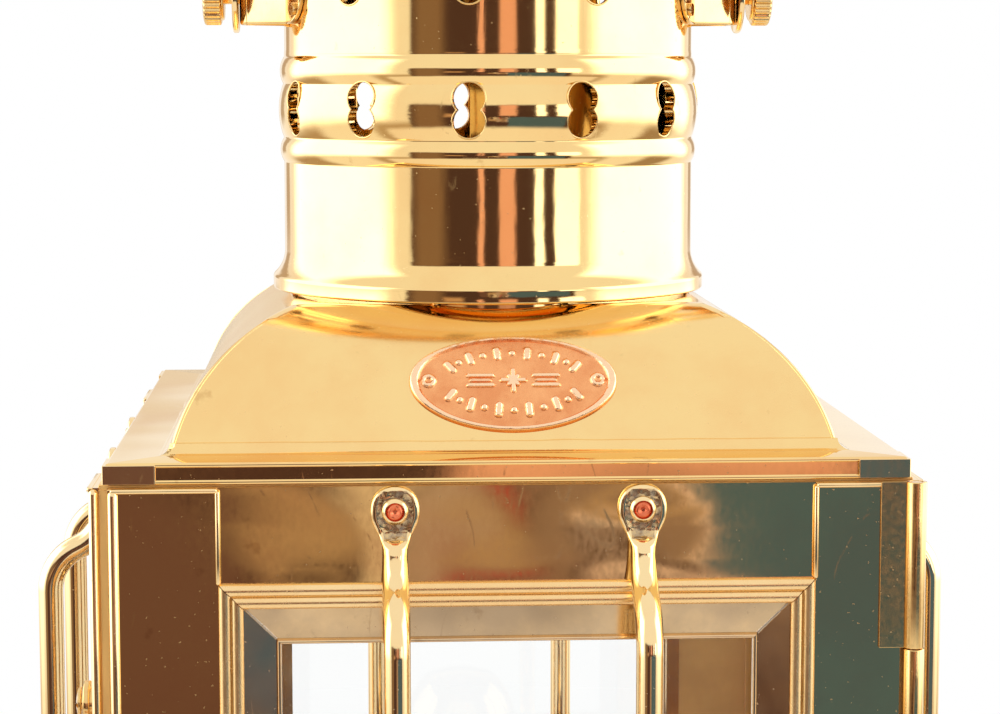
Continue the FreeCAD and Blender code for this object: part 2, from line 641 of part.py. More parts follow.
def ear(side, label):
    """Bent strap riveted to the flue: flat nose, sloping legs, curved feet."""
    low, high = f"{PIVOT} - ear_tall / 2", f"{PIVOT} + ear_tall / 2"
    spread, inner = math.radians(27), math.radians(15.5)
    shoe, root = "(flue + 1.2)", "(flue + 0.05)"
    leg = f"{shoe} * {math.sin(inner):.5f}"
    leg_x = f"{shoe} * {math.cos(inner):.5f}"
    nose = 6.8
    foot_x, foot_y = f"{math.cos(spread):.5f}", f"{math.sin(spread):.5f}"
    outline = [(f"{root} * {foot_x}", f"-{root} * {foot_y}", root, -1),
               (f"{shoe} * {foot_x}", f"-{shoe} * {foot_y}"), (leg_x, f"-{leg}", shoe, 1),
               ("ear_nose", -nose), ("ear_nose", nose), (leg_x, leg),
               (f"{shoe} * {foot_x}", f"{shoe} * {foot_y}", shoe, 1),
               (f"{root} * {foot_x}", f"{root} * {foot_y}"),
               (f"{root} * {math.cos(inner):.5f}", f"{root} * {math.sin(inner):.5f}", root, -1),
               ("ear_nose - 1.2", nose - 0.6), ("ear_nose - 1.2", 0.6 - nose),
               (f"{root} * {math.cos(inner):.5f}", f"-{root} * {math.sin(inner):.5f}")]
    strap = padded("XY_Plane", outline, "ear_tall")
    move(strap, 0, 0, PIVOT)
    if side < 0:
        strap = turned(strap, 180)
    holes = [along_x("stud_radius + running", 50, 70, side)]
    return part(label, cut(strap, *holes))


def ear_rivets():
    """Two round-headed rivets in each foot of the ears."""
    made = []
    for side in (0, 180):
        for angle in (-23, 23):
            for up in (-4, 4):
                turn = math.radians(side + angle)
                out = V(math.cos(turn), math.sin(turn), 0)
                start = "(flue + 1.25)"
                made.append(cylinder(1.6, 0.9, f"{out.x:.6f} * {start}", f"{out.y:.6f} * {start}",
                                     f"{PIVOT} + {up}", out))
    return part("ear_rivets", group(*made))


def bail_studs():
    """Headed studs through the ears."""
    studs = [fuse(along_x(4, "ear_nose - 3.4", "ear_nose - 1.25", side),
                  along_x("stud_radius", "ear_nose - 2", "ear_nose + 9.2", side)) for side in (-1, 1)]
    return part("bail_studs", group(*studs))


def bail():
    """Round bow with a flat eye at each end."""
    low = f"{PIVOT} + eye_radius - 1.3"
    turn = f"{PIVOT} + bail_arm"
    route = [("-bail_half", low), ("-bail_half", turn), (0, f"{turn} + bail_half", "bail_half", -1),
             ("bail_half", turn, "bail_half", -1), ("bail_half", low)]
    bow = pipe("XZ_Plane", route, "bail_radius", ("-bail_half", 0, low))
    eyes = [along_x("eye_radius", "ear_nose + 0.3", "ear_nose + 1.8", side) for side in (-1, 1)]
    bores = [along_x("stud_radius + running", 50, 80, side) for side in (-1, 1)]
    return part("bail", cut(fuse(bow, *eyes), *bores))


def thumb_nut(side, label):
    """Knurled round nut with a narrow neck."""
    knurl = cylinder("nut_radius", 5.3, f"{side} * (ear_nose + 4)", 0, PIVOT, V(side, 0, 0))
    grooves = []
    count = 24
    for number in range(count):
        angle = 2 * math.pi * number / count
        grooves.append(cylinder(0.5, 8, f"{side} * (ear_nose + 3)", f"nut_radius * {math.cos(angle):.6f}",
                                f"{PIVOT} + nut_radius * {math.sin(angle):.6f}", V(side, 0, 0)))
    bore = along_x("stud_radius + running", "ear_nose + 3", "ear_nose + 12", side)
    return part(label, cut(knurl, *grooves, bore))


# ---------------------------------------------------------------- lamp

def fount():
    """Oil fount: thin drum with a rounded shoulder, a burner collar and a filler neck."""
    floor, inside = "base_top + 0.2", "fount_radius - 1"
    outline = [(0, floor), ("fount_radius - 2", floor), ("fount_radius", f"{floor} + 2", 2, 1),
               ("fount_radius", "fount_top - 9"), ("fount_radius - 9", "fount_top", 9, 1),
               (13.5, "fount_top"), (13.5, "fount_top + 4"), (12, "fount_top + 4"), (12, "fount_top - 1"),
               ("fount_radius - 9", "fount_top - 1"), (inside, "fount_top - 9", 8, -1),
               (inside, f"{floor} + 2"), ("fount_radius - 2", f"{floor} + 1", 1, -1), (0, f"{floor} + 1")]
    neck = cylinder(6.5, 5, 0, "filler_y", "fount_top - 2")
    way = cylinder(5.3, 12, 0, "filler_y", "fount_top - 6")
    return part("fount", cut(fuse(revolved(outline), neck), way))


def filler_cap():
    """Milled screw cap on the filler neck."""
    lid_radius, count = 8.2, 16
    grooves = []
    for number in range(count):
        turn = 2 * math.pi * number / count
        x, y = lid_radius * math.cos(turn), lid_radius * math.sin(turn)
        grooves.append(cylinder(0.6, 8, x, f"filler_y + ({y})", "fount_top - 1"))
    lid = cylinder(lid_radius, 5.4, 0, "filler_y", "fount_top + 0.3")
    bore = cylinder("6.5 + running", 3.2, 0, "filler_y", "fount_top")
    return part("filler_cap", cut(lid, bore, *grooves))


WICK_WAY = 0.35         # clearance round the wick


def burner():
    """Burner: threaded spigot, round plate, dished gallery and a flat wick tube."""
    shell = revolved([(0, "fount_top - 3"), (11.9, "fount_top - 3"), (11.9, "fount_top + 4.1"),
                      (16, "fount_top + 4.1"), (19, "fount_top + 8", 6, 1), (19, "fount_top + 13"),
                      (14, "fount_top + 14"), (0, "fount_top + 14")])
    half = f"(wick_half + {WICK_WAY} + 0.8)"
    depth = f"(wick_thick / 2 + {WICK_WAY} + 0.8)"
    tube = box([f"-{half}", half], [f"-{depth}", depth], ["fount_top + 13", "fount_top + 27"])
    way_x, way_y = f"(wick_half + {WICK_WAY})", f"(wick_thick / 2 + {WICK_WAY})"
    way = box([f"-{way_x}", way_x], [f"-{way_y}", way_y], ["fount_top - 5", "fount_top + 30"])
    pocket = box([f"-{way_x}", way_x], ["wheel_y - 3.8", 0], ["wheel_z - 3.8", "wheel_z + 3.8"])
    shaft_way = cylinder("1.3 + running", 25, 0, "wheel_y", "wheel_z", X)
    return part("burner", cut(fuse(shell, tube), way, pocket, shaft_way))


def deflector():
    """Domed draught deflector with a slot over the wick."""
    dome = revolved([(17.2, "fount_top + 14.1"), (18, "fount_top + 14.1"), (18, "fount_top + 19"),
                     (11, "fount_top + 32", 20, 1), (0, "fount_top + 34", 30, 1), (0, "fount_top + 33.2"),
                     (11, "fount_top + 31.2", 29, -1), (17.2, "fount_top + 19", 19, -1)])
    slot = box([-12, 12], [-3, 3], ["fount_top + 27.5", "fount_top + 40"])
    return part("deflector", cut(dome, slot))


def wick():
    return part("wick", box(["-wick_half", "wick_half"], ["-wick_thick / 2", "wick_thick / 2"],
                            ["fount_top - 34", "fount_top + 30"]))


def wick_wheel():
    """Shaft with its spiked wheels and the milled knob outside the burner."""
    wheels = [cylinder(3.2, 2, f"{side} * 5 - 1", "wheel_y", "wheel_z", X) for side in (-1, 1)]
    shaft = cylinder(1.3, 40, -8, "wheel_y", "wheel_z", X)
    knob_radius, count = 8, 20
    grooves = []
    for number in range(count):
        turn = 2 * math.pi * number / count
        y, z = knob_radius * math.cos(turn), knob_radius * math.sin(turn)
        grooves.append(cylinder(0.5, 6, 31, f"wheel_y + ({y})", f"wheel_z + ({z})", X))
    knob = cut(cylinder(knob_radius, 3, 32, "wheel_y", "wheel_z", X), *grooves)
    return part("wick_wheel", fuse(shaft, knob, *wheels))


# ---------------------------------------------------------------- the lantern

base_tray()
lamp_ring()
corner_posts()
for wall in WALLS:
    name = "door" if wall == "front" else f"wall_{wall}"
    wall_panel(wall, f"{name}_panel")
    wall_strips(wall, f"{name}_strips")
    window_moulding(wall, f"{name}_moulding")
    window_frame(wall, f"{name}_frame")
    window_pane(wall, f"{name}_glass")
    for side, hand in ((-1, "a"), (1, "b")):
        guard_rod(wall, side, f"{name}_rod_{hand}")
rivets(["left", "right", "back"], "wall_rivets")
rivets(["front"], "door_rivets")
hinge_leaf([1, 3], False, "hinge_wall_leaf")
hinge_leaf([0, 2, 4], True, "hinge_door_leaf")
hinge_pin()
keeper()
latch()
roof_plate()
eaves_ring()
roof_corners()
hood()
badge()
chimney_tube()
chimney_cap()
ear(-1, "ear_left")
ear(1, "ear_right")
ear_rivets()
bail_studs()
bail()
thumb_nut(-1, "thumb_nut_left")
thumb_nut(1, "thumb_nut_right")
fount()
filler_cap()
burner()
deflector()
wick()
wick_wheel()
doc.recompute()

for obj in doc.Objects:
    if "Invalid" in obj.State or "Error" in obj.State:
        raise RuntimeError(f"{obj.Label} failed: {obj.State}")
for obj in parts:
    if obj.Shape.isNull() or not obj.Shape.isValid() or not obj.Shape.Solids:
        raise RuntimeError(f"{obj.Label} has no sound solid")

os.makedirs("parts", exist_ok=True)
for obj in parts:
    obj.Shape.exportStep(f"parts/{obj.Label}.step")
print(len(parts), "sub-parts written")
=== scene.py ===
import math
import random

import bmesh
import bpy
from mathutils import Matrix, Vector, noise

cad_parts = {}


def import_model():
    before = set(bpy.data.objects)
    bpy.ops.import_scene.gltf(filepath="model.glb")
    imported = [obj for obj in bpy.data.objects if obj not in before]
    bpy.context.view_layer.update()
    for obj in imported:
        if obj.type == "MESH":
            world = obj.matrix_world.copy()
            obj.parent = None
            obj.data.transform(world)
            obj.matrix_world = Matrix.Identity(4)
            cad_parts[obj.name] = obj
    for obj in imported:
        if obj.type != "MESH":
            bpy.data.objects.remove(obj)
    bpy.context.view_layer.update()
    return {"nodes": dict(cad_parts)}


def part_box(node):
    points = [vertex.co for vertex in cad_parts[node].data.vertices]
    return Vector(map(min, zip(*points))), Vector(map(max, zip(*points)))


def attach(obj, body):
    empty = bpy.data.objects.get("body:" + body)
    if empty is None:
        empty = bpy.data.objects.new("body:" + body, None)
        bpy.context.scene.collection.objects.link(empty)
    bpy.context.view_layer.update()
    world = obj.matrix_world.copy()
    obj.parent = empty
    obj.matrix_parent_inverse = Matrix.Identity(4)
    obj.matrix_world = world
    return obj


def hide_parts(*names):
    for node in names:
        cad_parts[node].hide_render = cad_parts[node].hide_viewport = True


# Looks of the square brass ship lantern. Shapes are worked out in millimetres in the frame's own axes
# (+Z up, the door towards -Y) and become metres as each piece is made.

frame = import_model()
random.seed(11)
MM = 0.001


# ---------------------------------------------------------------- node wiring

class Wiring:
    """Adds and joins the nodes of one material or world."""

    def __init__(self, tree):
        self.tree = tree

    def add(self, kind, sockets=None, **settings):
        node = self.tree.nodes.new("ShaderNode" + kind)
        for name, value in settings.items():
            setattr(node, name, value)
        for socket, value in (sockets or {}).items():
            self.feed(node.inputs[socket], value)
        return node

    def feed(self, socket, value):
        if isinstance(value, bpy.types.NodeSocket):
            self.tree.links.new(value, socket)
        else:
            socket.default_value = value

    def math(self, operation, first, second=0.0):
        return self.add("Math", {0: first, 1: second}, operation=operation).outputs[0]

    def ramp(self, value, start, end, low=0.0, high=1.0):
        """Smooth step of a value from low at start to high at end."""
        sockets = {0: value, 1: start, 2: end, 3: low, 4: high}
        return self.add("MapRange", sockets, interpolation_type="SMOOTHSTEP").outputs[0]

    def mix(self, factor, first, second):
        first, second = (c if isinstance(c, bpy.types.NodeSocket) else (*c, 1.0) for c in (first, second))
        return self.add("MixRGB", {0: factor, 1: first, 2: second}).outputs[0]

    def stretched(self, place, stretch):
        return self.add("Mapping", {"Vector": place, "Scale": stretch}).outputs[0]

    def noise(self, place, scale, detail=3.0, rough=0.55, stretch=None):
        if stretch:
            place = self.stretched(place, stretch)
        sockets = {"Vector": place, "Scale": scale, "Detail": detail, "Roughness": rough}
        return self.add("TexNoise", sockets).outputs[0]

    def bump(self, height, distance, normal=None):
        sockets = {"Height": height, "Distance": distance}
        if normal:
            sockets["Normal"] = normal
        return self.add("Bump", sockets).outputs[0]


# ---------------------------------------------------------------- materials

def new_material(name):
    material = bpy.data.materials.new(name)
    material.use_nodes = True
    wiring = Wiring(material.node_tree)
    shader = material.node_tree.nodes["Principled BSDF"]
    place = wiring.add("TexCoord").outputs["Object"]
    return material, wiring, shader, place


def finish(wiring, shader, tint, rough, normal, metal=1.0):
    """Feeds colour, roughness and relief to a shader."""
    values = {"Base Color": tint, "Roughness": rough, "Normal": normal, "Metallic": metal}
    for socket, value in values.items():
        wiring.feed(shader.inputs[socket], value)


def brass(name, colour, film, gloss=(0.03, 0.12), wave=0.00016, wave_size=22, streaks=(1, 1, 1),
          scratch=0.0000012, film_share=0.5, metal=1.0):
    """Polished sheet: buffing streaks, hair scratches, specks, gentle waves and a patchy film of tarnish."""
    material, wiring, shader, place = new_material(name)
    patches = wiring.noise(place, 26, 6, 0.62)
    stains = wiring.noise(place, 95, 4, 0.6)
    cover = wiring.math("MULTIPLY", wiring.ramp(patches, 0.42, 0.68), film_share)
    specks = wiring.math("MULTIPLY", wiring.ramp(stains, 0.66, 0.74), 0.35)
    dust = wiring.ramp(wiring.noise(place, 1300, 1, 0.5), 0.74, 0.78)
    hairs = wiring.math("SUBTRACT", wiring.noise(place, 34, 2, 0.5, (1, 1, 0.35)), 0.5)
    hairs = wiring.ramp(wiring.math("ABSOLUTE", hairs), 0.0, 0.004, 1.0, 0.0)
    hairs = wiring.math("MULTIPLY", hairs, wiring.ramp(stains, 0.5, 0.58))
    marks = wiring.math("MAXIMUM", wiring.math("MULTIPLY", hairs, 0.45), dust)
    tint = wiring.mix(cover, colour, film)
    tint = wiring.mix(specks, tint, (film[0] * 0.6, film[1] * 0.5, film[2] * 0.4))
    buffing = wiring.noise(place, 900, 2, 0.5, streaks)
    haze = wiring.math("MULTIPLY", wiring.math("ADD", patches, buffing), 0.5)
    shine = wiring.ramp(haze, 0.3, 0.72, *gloss)
    rough = wiring.math("ADD", shine, wiring.math("MULTIPLY", marks, 0.25))
    waves = wiring.bump(wiring.noise(place, wave_size, 1.5, 0.4), wave)
    finish(wiring, shader, tint, rough, wiring.bump(buffing, scratch, waves), metal)
    return material


def solder(name):
    """Dull grey-gold solder, wiped while hot."""
    material, wiring, shader, place = new_material(name)
    lumps = wiring.noise(place, 340, 4, 0.6)
    tint = wiring.mix(lumps, (0.62, 0.46, 0.28), (0.5, 0.47, 0.42))
    finish(wiring, shader, tint, wiring.ramp(lumps, 0.3, 0.7, 0.16, 0.4), wiring.bump(lumps, 0.0002))
    return material


def copper(name, light, dark, relief=False):
    """Copper with a darker, rougher ground; the badge's relief attribute polishes what stands up."""
    material, wiring, shader, place = new_material(name)
    grain = wiring.noise(place, 1500, 3, 0.6)
    patches = wiring.noise(place, 120, 4, 0.6)
    tint = wiring.mix(wiring.ramp(patches, 0.35, 0.7), light, dark)
    rough = wiring.ramp(grain, 0.3, 0.7, 0.2, 0.42)
    if relief:
        height = wiring.add("Attribute", attribute_name="relief").outputs["Fac"]
        crest = wiring.ramp(height, 0.35, 0.9)
        tint = wiring.mix(crest, tint, (1.0, 0.68, 0.42))
        rough = wiring.math("SUBTRACT", rough, wiring.math("MULTIPLY", crest, 0.1))
    finish(wiring, shader, tint, rough, wiring.bump(grain, 0.00003))
    return material


def hammered(name):
    """The rods' beaten heads: pitted, and greyer in random patches of grime."""
    material, wiring, shader, place = new_material(name)
    pits = wiring.add("TexVoronoi", {"Vector": place, "Scale": 620.0}).outputs["Distance"]
    grime = wiring.noise(place, 420, 5, 0.65)
    tint = wiring.mix(wiring.ramp(grime, 0.35, 0.7), (0.78, 0.55, 0.27), (0.36, 0.27, 0.19))
    finish(wiring, shader, tint, wiring.ramp(grime, 0.3, 0.7, 0.14, 0.36), wiring.bump(pits, 0.00025))
    return material


def glass(name):
    """Clear float glass with a breath of dust."""
    material, wiring, shader, place = new_material(name)
    dust = wiring.noise(place, 60, 6, 0.65)
    tint = wiring.mix(dust, (1.0, 1.0, 1.0), (0.985, 0.995, 0.99))
    waves = wiring.bump(wiring.noise(place, 9, 2), 0.00004)
    finish(wiring, shader, tint, wiring.ramp(dust, 0.45, 0.8, 0.0, 0.03), waves, 0.0)
    shader.inputs["Transmission Weight"].default_value = 1.0
    shader.inputs["IOR"].default_value = 1.3
    return material


def cotton(name, top):
    """Woven wick: crossing threads, charred along the top."""
    material, wiring, shader, place = new_material(name)
    across = wiring.add("TexWave", {"Vector": place, "Scale": 320.0}, bands_direction="X").outputs["Fac"]
    up = wiring.add("TexWave", {"Vector": place, "Scale": 320.0}, bands_direction="Z").outputs["Fac"]
    weave = wiring.math("MULTIPLY", across, up)
    height = wiring.add("SeparateXYZ", {0: place}).outputs["Z"]
    ragged = wiring.math("ADD", height, wiring.math("MULTIPLY", wiring.noise(place, 500, 4), 0.004))
    char = wiring.ramp(ragged, top - 0.0035, top + 0.001)
    cloth = wiring.mix(weave, (0.55, 0.5, 0.4), (0.86, 0.82, 0.7))
    tint = wiring.mix(char, cloth, (0.02, 0.017, 0.015))
    finish(wiring, shader, tint, wiring.ramp(weave, 0, 1, 0.95, 0.8), wiring.bump(weave, 0.0003), 0.0)
    return material


YELLOW, FILM = (0.94, 0.67, 0.29), (0.90, 0.55, 0.22)
PALE = (0.95, 0.72, 0.38)
WALL = brass("wall_sheet", YELLOW, (0.86, 0.52, 0.24), (0.04, 0.085), 0.0011, 13, (1, 1, 0.5), 0.0000006)
HOOD = brass("hood_sheet", YELLOW, FILM, (0.08, 0.16), 0.00025, 11, (0.08, 1, 1), 0.0000008)
SPUN = brass("spun_flue", YELLOW, FILM, (0.03, 0.09), 0.00016, 24, (1, 1, 9), 0.0000005)
DRAWN = brass("drawn_rod", PALE, FILM, (0.04, 0.12), 0.00005, 30, (1, 1, 0.05), film_share=0.3)
TRIM = brass("folded_trim", PALE, FILM, (0.06, 0.14), 0.0001, 40, (1, 1, 0.2), film_share=0.3)
SATIN = brass("window_ring", (0.84, 0.60, 0.33), (0.62, 0.46, 0.29), (0.07, 0.17), 0.0005, 30, (0.1, 1, 0.1),
              0.000002, film_share=0.85)
REEDED = brass("reeded_trim", (0.95, 0.68, 0.34), FILM, (0.2, 0.3), 0.0001, 40, (1, 1, 0.2), film_share=0.4)
HARDWARE = brass("cast_hardware", (0.92, 0.64, 0.27), (0.72, 0.45, 0.18), (0.08, 0.22), 0.00008, 60,
                 (1, 1, 1), 0.000003, film_share=0.7)
INSIDE = brass("inner_sheet", (0.92, 0.58, 0.2), (0.8, 0.48, 0.17), (0.3, 0.5), 0.0003, 18, (1, 1, 0.1),
               0.000003, film_share=0.9, metal=0.6)
SOLDER = solder("wiped_solder")
COPPER = copper("rivet_copper", (0.84, 0.22, 0.10), (0.62, 0.12, 0.06))
PLAQUE = copper("badge_copper", (0.96, 0.45, 0.19), (0.84, 0.33, 0.13), relief=True)
BEATEN = hammered("beaten_head")
GLASS = glass("float_glass")


# ---------------------------------------------------------------- meshes

class Solid:
    """Collects points in millimetres and faces, and becomes one piece."""

    def __init__(self):
        self.points = []
        self.faces = []
        self.paints = []

    def add(self, shape, place=None, paint=0):
        points, faces = shape
        first = len(self.points)
        self.points += [place @ Vector(p) if place else Vector(p) for p in points]
        self.faces += [[first + corner for corner in face] for face in faces]
        self.paints += [paint] * len(faces) if isinstance(paint, int) else paint
        return self

    def piece(self, name, body, materials, stands_for=(), slot="polished_brass", sharp=35):
        mesh = bpy.data.meshes.new(name)
        mesh.from_pydata([tuple(p * MM) for p in self.points], [], self.faces)
        for material in materials:
            mesh.materials.append(material)
        mesh.polygons.foreach_set("material_index", self.paints)
        tidy_mesh(mesh, sharp)
        obj = bpy.data.objects.new(name, mesh)
        bpy.context.scene.collection.objects.link(obj)
        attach(obj, body)
        if stands_for:
            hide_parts(*stands_for)
        return obj


def tidy_mesh(mesh, sharp):
    """Merges doubled points, turns faces outward and keeps edges sharper than an angle crisp."""
    work = bmesh.new()
    work.from_mesh(mesh)
    bmesh.ops.remove_doubles(work, verts=work.verts, dist=0.000002)
    bmesh.ops.recalc_face_normals(work, faces=work.faces)
    work.to_mesh(mesh)
    work.free()
    mesh.shade_smooth()
    mesh.set_sharp_from_angle(angle=math.radians(sharp))


def span(node):
    """Lowest and highest corner of a CAD node, in millimetres."""
    low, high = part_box(node)
    return low / MM, high / MM


def smooth(value, start, end):
    """Smooth step from 0 at start to 1 at end."""
    share = min(1.0, max(0.0, (value - start) / (end - start)))
    return share * share * (3 - 2 * share)


def trace(steps, turn_step=7.0, closed=True):
    """An outline's points: (x, y) ends a line there, and (x, y, radius, turn) ends an arc, which runs
    anticlockwise if turn is 1 and clockwise if it is -1."""
    points = [] if closed else [steps[0][:2]]
    for number in range(0 if closed else 1, len(steps)):
        start, step = steps[number - 1], steps[number]
        if len(step) == 2:
            points.append(step)
            continue
        x, y, radius, turn = step
        dx, dy = x - start[0], y - start[1]
        chord = math.hypot(dx, dy)
        rise = math.sqrt(max(radius ** 2 - chord ** 2 / 4, 0)) * turn
        centre = ((start[0] + x) / 2 - dy / chord * rise, (start[1] + y) / 2 + dx / chord * rise)
        sweep = 2 * math.asin(min(1, chord / 2 / radius)) * turn
        begin = math.atan2(start[1] - centre[1], start[0] - centre[0])
        count = max(3, math.ceil(abs(math.degrees(sweep)) / turn_step))
        points += [(centre[0] + radius * math.cos(begin + sweep * n / count),
                    centre[1] + radius * math.sin(begin + sweep * n / count)) for n in range(1, count + 1)]
    return points


def circle(count):
    """(cosine, sine) of evenly spaced angles, once round."""
    return [(math.cos(a), math.sin(a)) for a in (math.radians(360 * n / count) for n in range(count))]


def grid_faces(rows, columns):
    """Faces of a sheet whose points are stored row by row."""
    return [[r * columns + n, r * columns + n + 1, (r + 1) * columns + n + 1, (r + 1) * columns + n]
            for r in range(rows - 1) for n in range(columns - 1)]


def loft(rings, capped=True):
    """Skin over closed rings of equal length."""
    count = len(rings[0])
    faces = []
    for first in range(0, count * (len(rings) - 1), count):
        for n in range(count):
            after = (n + 1) % count
            faces.append([first + n, first + after, first + count + after, first + count + n])
    if capped:
        faces.append(list(range(count)))
        faces.append([(len(rings) - 1) * count + n for n in range(count)])
    return [p for ring in rings for p in ring], faces


def turned(outline, segments, shape=None, closed=True):
    """Turns (r, h) points about Z. shape may give the radius another value at each angle."""
    rings = []
    for number in range(segments):
        angle = 2 * math.pi * number / segments
        ring = []
        for r, h in outline:
            radius = shape(r, h, angle) if shape else r
            ring.append((radius * math.cos(angle), radius * math.sin(angle), h))
        rings.append(ring)
    count = len(outline)
    faces = []
    for number in range(segments):
        after = (number + 1) % segments
        for n in range(count if closed else count - 1):
            up = (n + 1) % count
            corners = [number * count + n, after * count + n, after * count + up, number * count + up]
            if outline[n][0] < 1e-6:
                corners.pop(1)
            elif outline[up][0] < 1e-6:
                corners.pop(2)
            if outline[n][0] < 1e-6 and outline[up][0] < 1e-6:
                continue
            faces.append(corners)
    return [p for ring in rings for p in ring], faces


def mitred(profile, gap=0.0):
    """Four bars round a square, mitred at the corners: the profile is (distance from centre, depth)."""
    bars = Solid()
    for quarter in range(4):
        ends = [[(end * (out - gap), depth, out) for out, depth in profile] for end in (-1, 1)]
        bars.add(loft(ends), Matrix.Rotation(quarter * math.pi / 2, 4, "Y"))
    return bars.points, bars.faces


def superellipse(wide, deep, power, count):
    """Evenly spaced points round a superellipse: power 2 is an ellipse, more is squarer."""
    dense = []
    for n in range(361):
        c, s = math.cos(math.radians(n)), math.sin(math.radians(n))
        dense.append((wide * math.copysign(abs(c) ** (2 / power), c),
                      deep * math.copysign(abs(s) ** (2 / power), s)))
    lengths = [0.0]
    for before, after in zip(dense, dense[1:]):
        lengths.append(lengths[-1] + math.dist(before, after))
    points, position = [], 0
    for n in range(count):
        target = lengths[-1] * n / count
        while lengths[position + 1] < target:
            position += 1
        share = (target - lengths[position]) / max(lengths[position + 1] - lengths[position], 1e-9)
        points.append(tuple(a + (b - a) * share for a, b in zip(dense[position], dense[position + 1])))
    return points


def planar_sweep(stations, count=48):
    """Rings of (across, a, b) along a path in the (a, b) plane; a station is
    (a, b, heading, half width across, half depth, squareness)."""
    rings = []
    for a, b, heading, wide, deep, power in stations:
        normal = (-math.sin(heading), math.cos(heading))
        rings.append([(w, a + normal[0] * d, b + normal[1] * d)
                      for w, d in superellipse(wide, deep, power, count)])
    return rings


def divided(before, after, step):
    """Points from before up to after, no further apart than a step."""
    count = max(1, math.ceil(math.dist(before, after) / step))
    return [tuple(a + (b - a) * n / count for a, b in zip(before, after)) for n in range(count)]


def refined(path, step, closed=True):
    """The same path with points no further apart than a step."""
    ends = path[:1] if closed else []
    fine = [point for before, after in zip(path, path[1:] + ends) for point in divided(before, after, step)]
    return fine if closed else fine + path[-1:]


def block(low, high):
    """An upright block between two corners."""
    ring = [(low[0], low[1]), (high[0], low[1]), (high[0], high[1]), (low[0], high[1])]
    return loft([[(x, y, z) for x, y in ring] for z in (low[2], high[2])])


def bevelled(obj, width, segments=3, angle=25):
    """Rounds a piece's edges without touching its mesh."""
    weld = obj.modifiers.new("weld", "WELD")
    weld.merge_threshold = 0.000003
    bevel = obj.modifiers.new("edges", "BEVEL")
    bevel.width = width * MM
    bevel.segments = segments
    bevel.limit_method = "ANGLE"
    bevel.angle_limit = math.radians(angle)
    bevel.harden_normals = True
    return obj


def keep(node, material, width=0.25):
    """A CAD node whose shape is right: rounded edges and a finished material."""
    obj = frame["nodes"][node]
    obj.data.materials.clear()
    obj.data.materials.append(material)
    bevelled(obj, width)


def settle(obj):
    """Applies a piece's modifiers to its mesh."""
    graph = bpy.context.evaluated_depsgraph_get()
    mesh = bpy.data.meshes.new_from_object(obj.evaluated_get(graph))
    obj.modifiers.clear()
    obj.data = mesh


def cut_away(obj, cutter, sharp=None):
    """Cuts a solid out of a piece. A cutter with curved sides is tidied first, with the given sharp angle."""
    mesh = bpy.data.meshes.new("cutter")
    mesh.from_pydata([tuple(p * MM) for p in cutter.points], [], cutter.faces)
    if sharp:
        tidy_mesh(mesh, sharp)
    knife = bpy.data.objects.new("cutter", mesh)
    bpy.context.scene.collection.objects.link(knife)
    cut = obj.modifiers.new("cut", "BOOLEAN")
    cut.object = knife
    cut.operation = "DIFFERENCE"
    cut.solver = "EXACT"
    settle(obj)
    bpy.data.objects.remove(knife)


# ---------------------------------------------------------------- walls, in wall space

WALLS = {"front": ("door", "door", 0), "right": ("wall_right", "body", 90),
         "back": ("wall_back", "body", 180), "left": ("wall_left", "body", -90)}
SHEET_STEP = 3.5
RING_WIDTH = 8.4
ROD_RADIUS = 3.05
HEAD_SHEET, HEAD_NECK = 2.2, 2.8


def wall_place(wall):
    """Wall space to the frame: X along the wall, -Y out of it, origin on its face at the window's centre."""
    prefix, _, turn = WALLS[wall]
    low, high = span(prefix + "_moulding")
    centre = (low + high) / 2
    spin = Matrix.Rotation(math.radians(turn), 4, "Z")
    outward = spin.to_3x3() @ Vector((0, -1, 0))
    panel_low, panel_high = span(prefix + "_panel")
    face = max(outward.dot(panel_low), outward.dot(panel_high))
    centre += outward * (face - outward.dot(centre))
    return Matrix.Translation(centre) @ spin


def wall_span(wall, part):
    """Lowest and highest corner of a wall's CAD node, in wall space."""
    inverse = wall_place(wall).inverted()
    corners = [inverse @ corner for corner in span(f"{WALLS[wall][0]}_{part}")]
    return [Vector(pick(values) for values in zip(*corners)) for pick in (min, max)]


def moulding(wall):
    """Two-reed moulding with a hairline at each mitre."""
    prefix, body, _ = WALLS[wall]
    low, high = wall_span(wall, "moulding")
    outer = (high.z - low.z) / 2
    base, rise, reed = -1.08, 0.78, 2.75
    inner = outer - 2 * reed
    radius = ((reed / 2) ** 2 + rise ** 2) / (2 * rise)
    profile = trace([(inner, 0), (outer, 0), (outer, base), (outer - reed, base, radius, -1),
                     (inner, base, radius, -1)], 8, closed=False)
    solid = Solid().add(mitred(profile, 0.14), wall_place(wall))
    return solid.piece(f"{prefix}_reeded_moulding", body, [REEDED], [prefix + "_moulding"], sharp=50)


def stepped(marks, step):
    """Values from the first mark to the last, stopping at every mark, no further apart than a step."""
    values = [marks[0]]
    for start, end in zip(marks, marks[1:]):
        count = max(1, math.ceil((end - start) / step))
        values += [start + (end - start) * (n + 1) / count for n in range(count)]
    return values


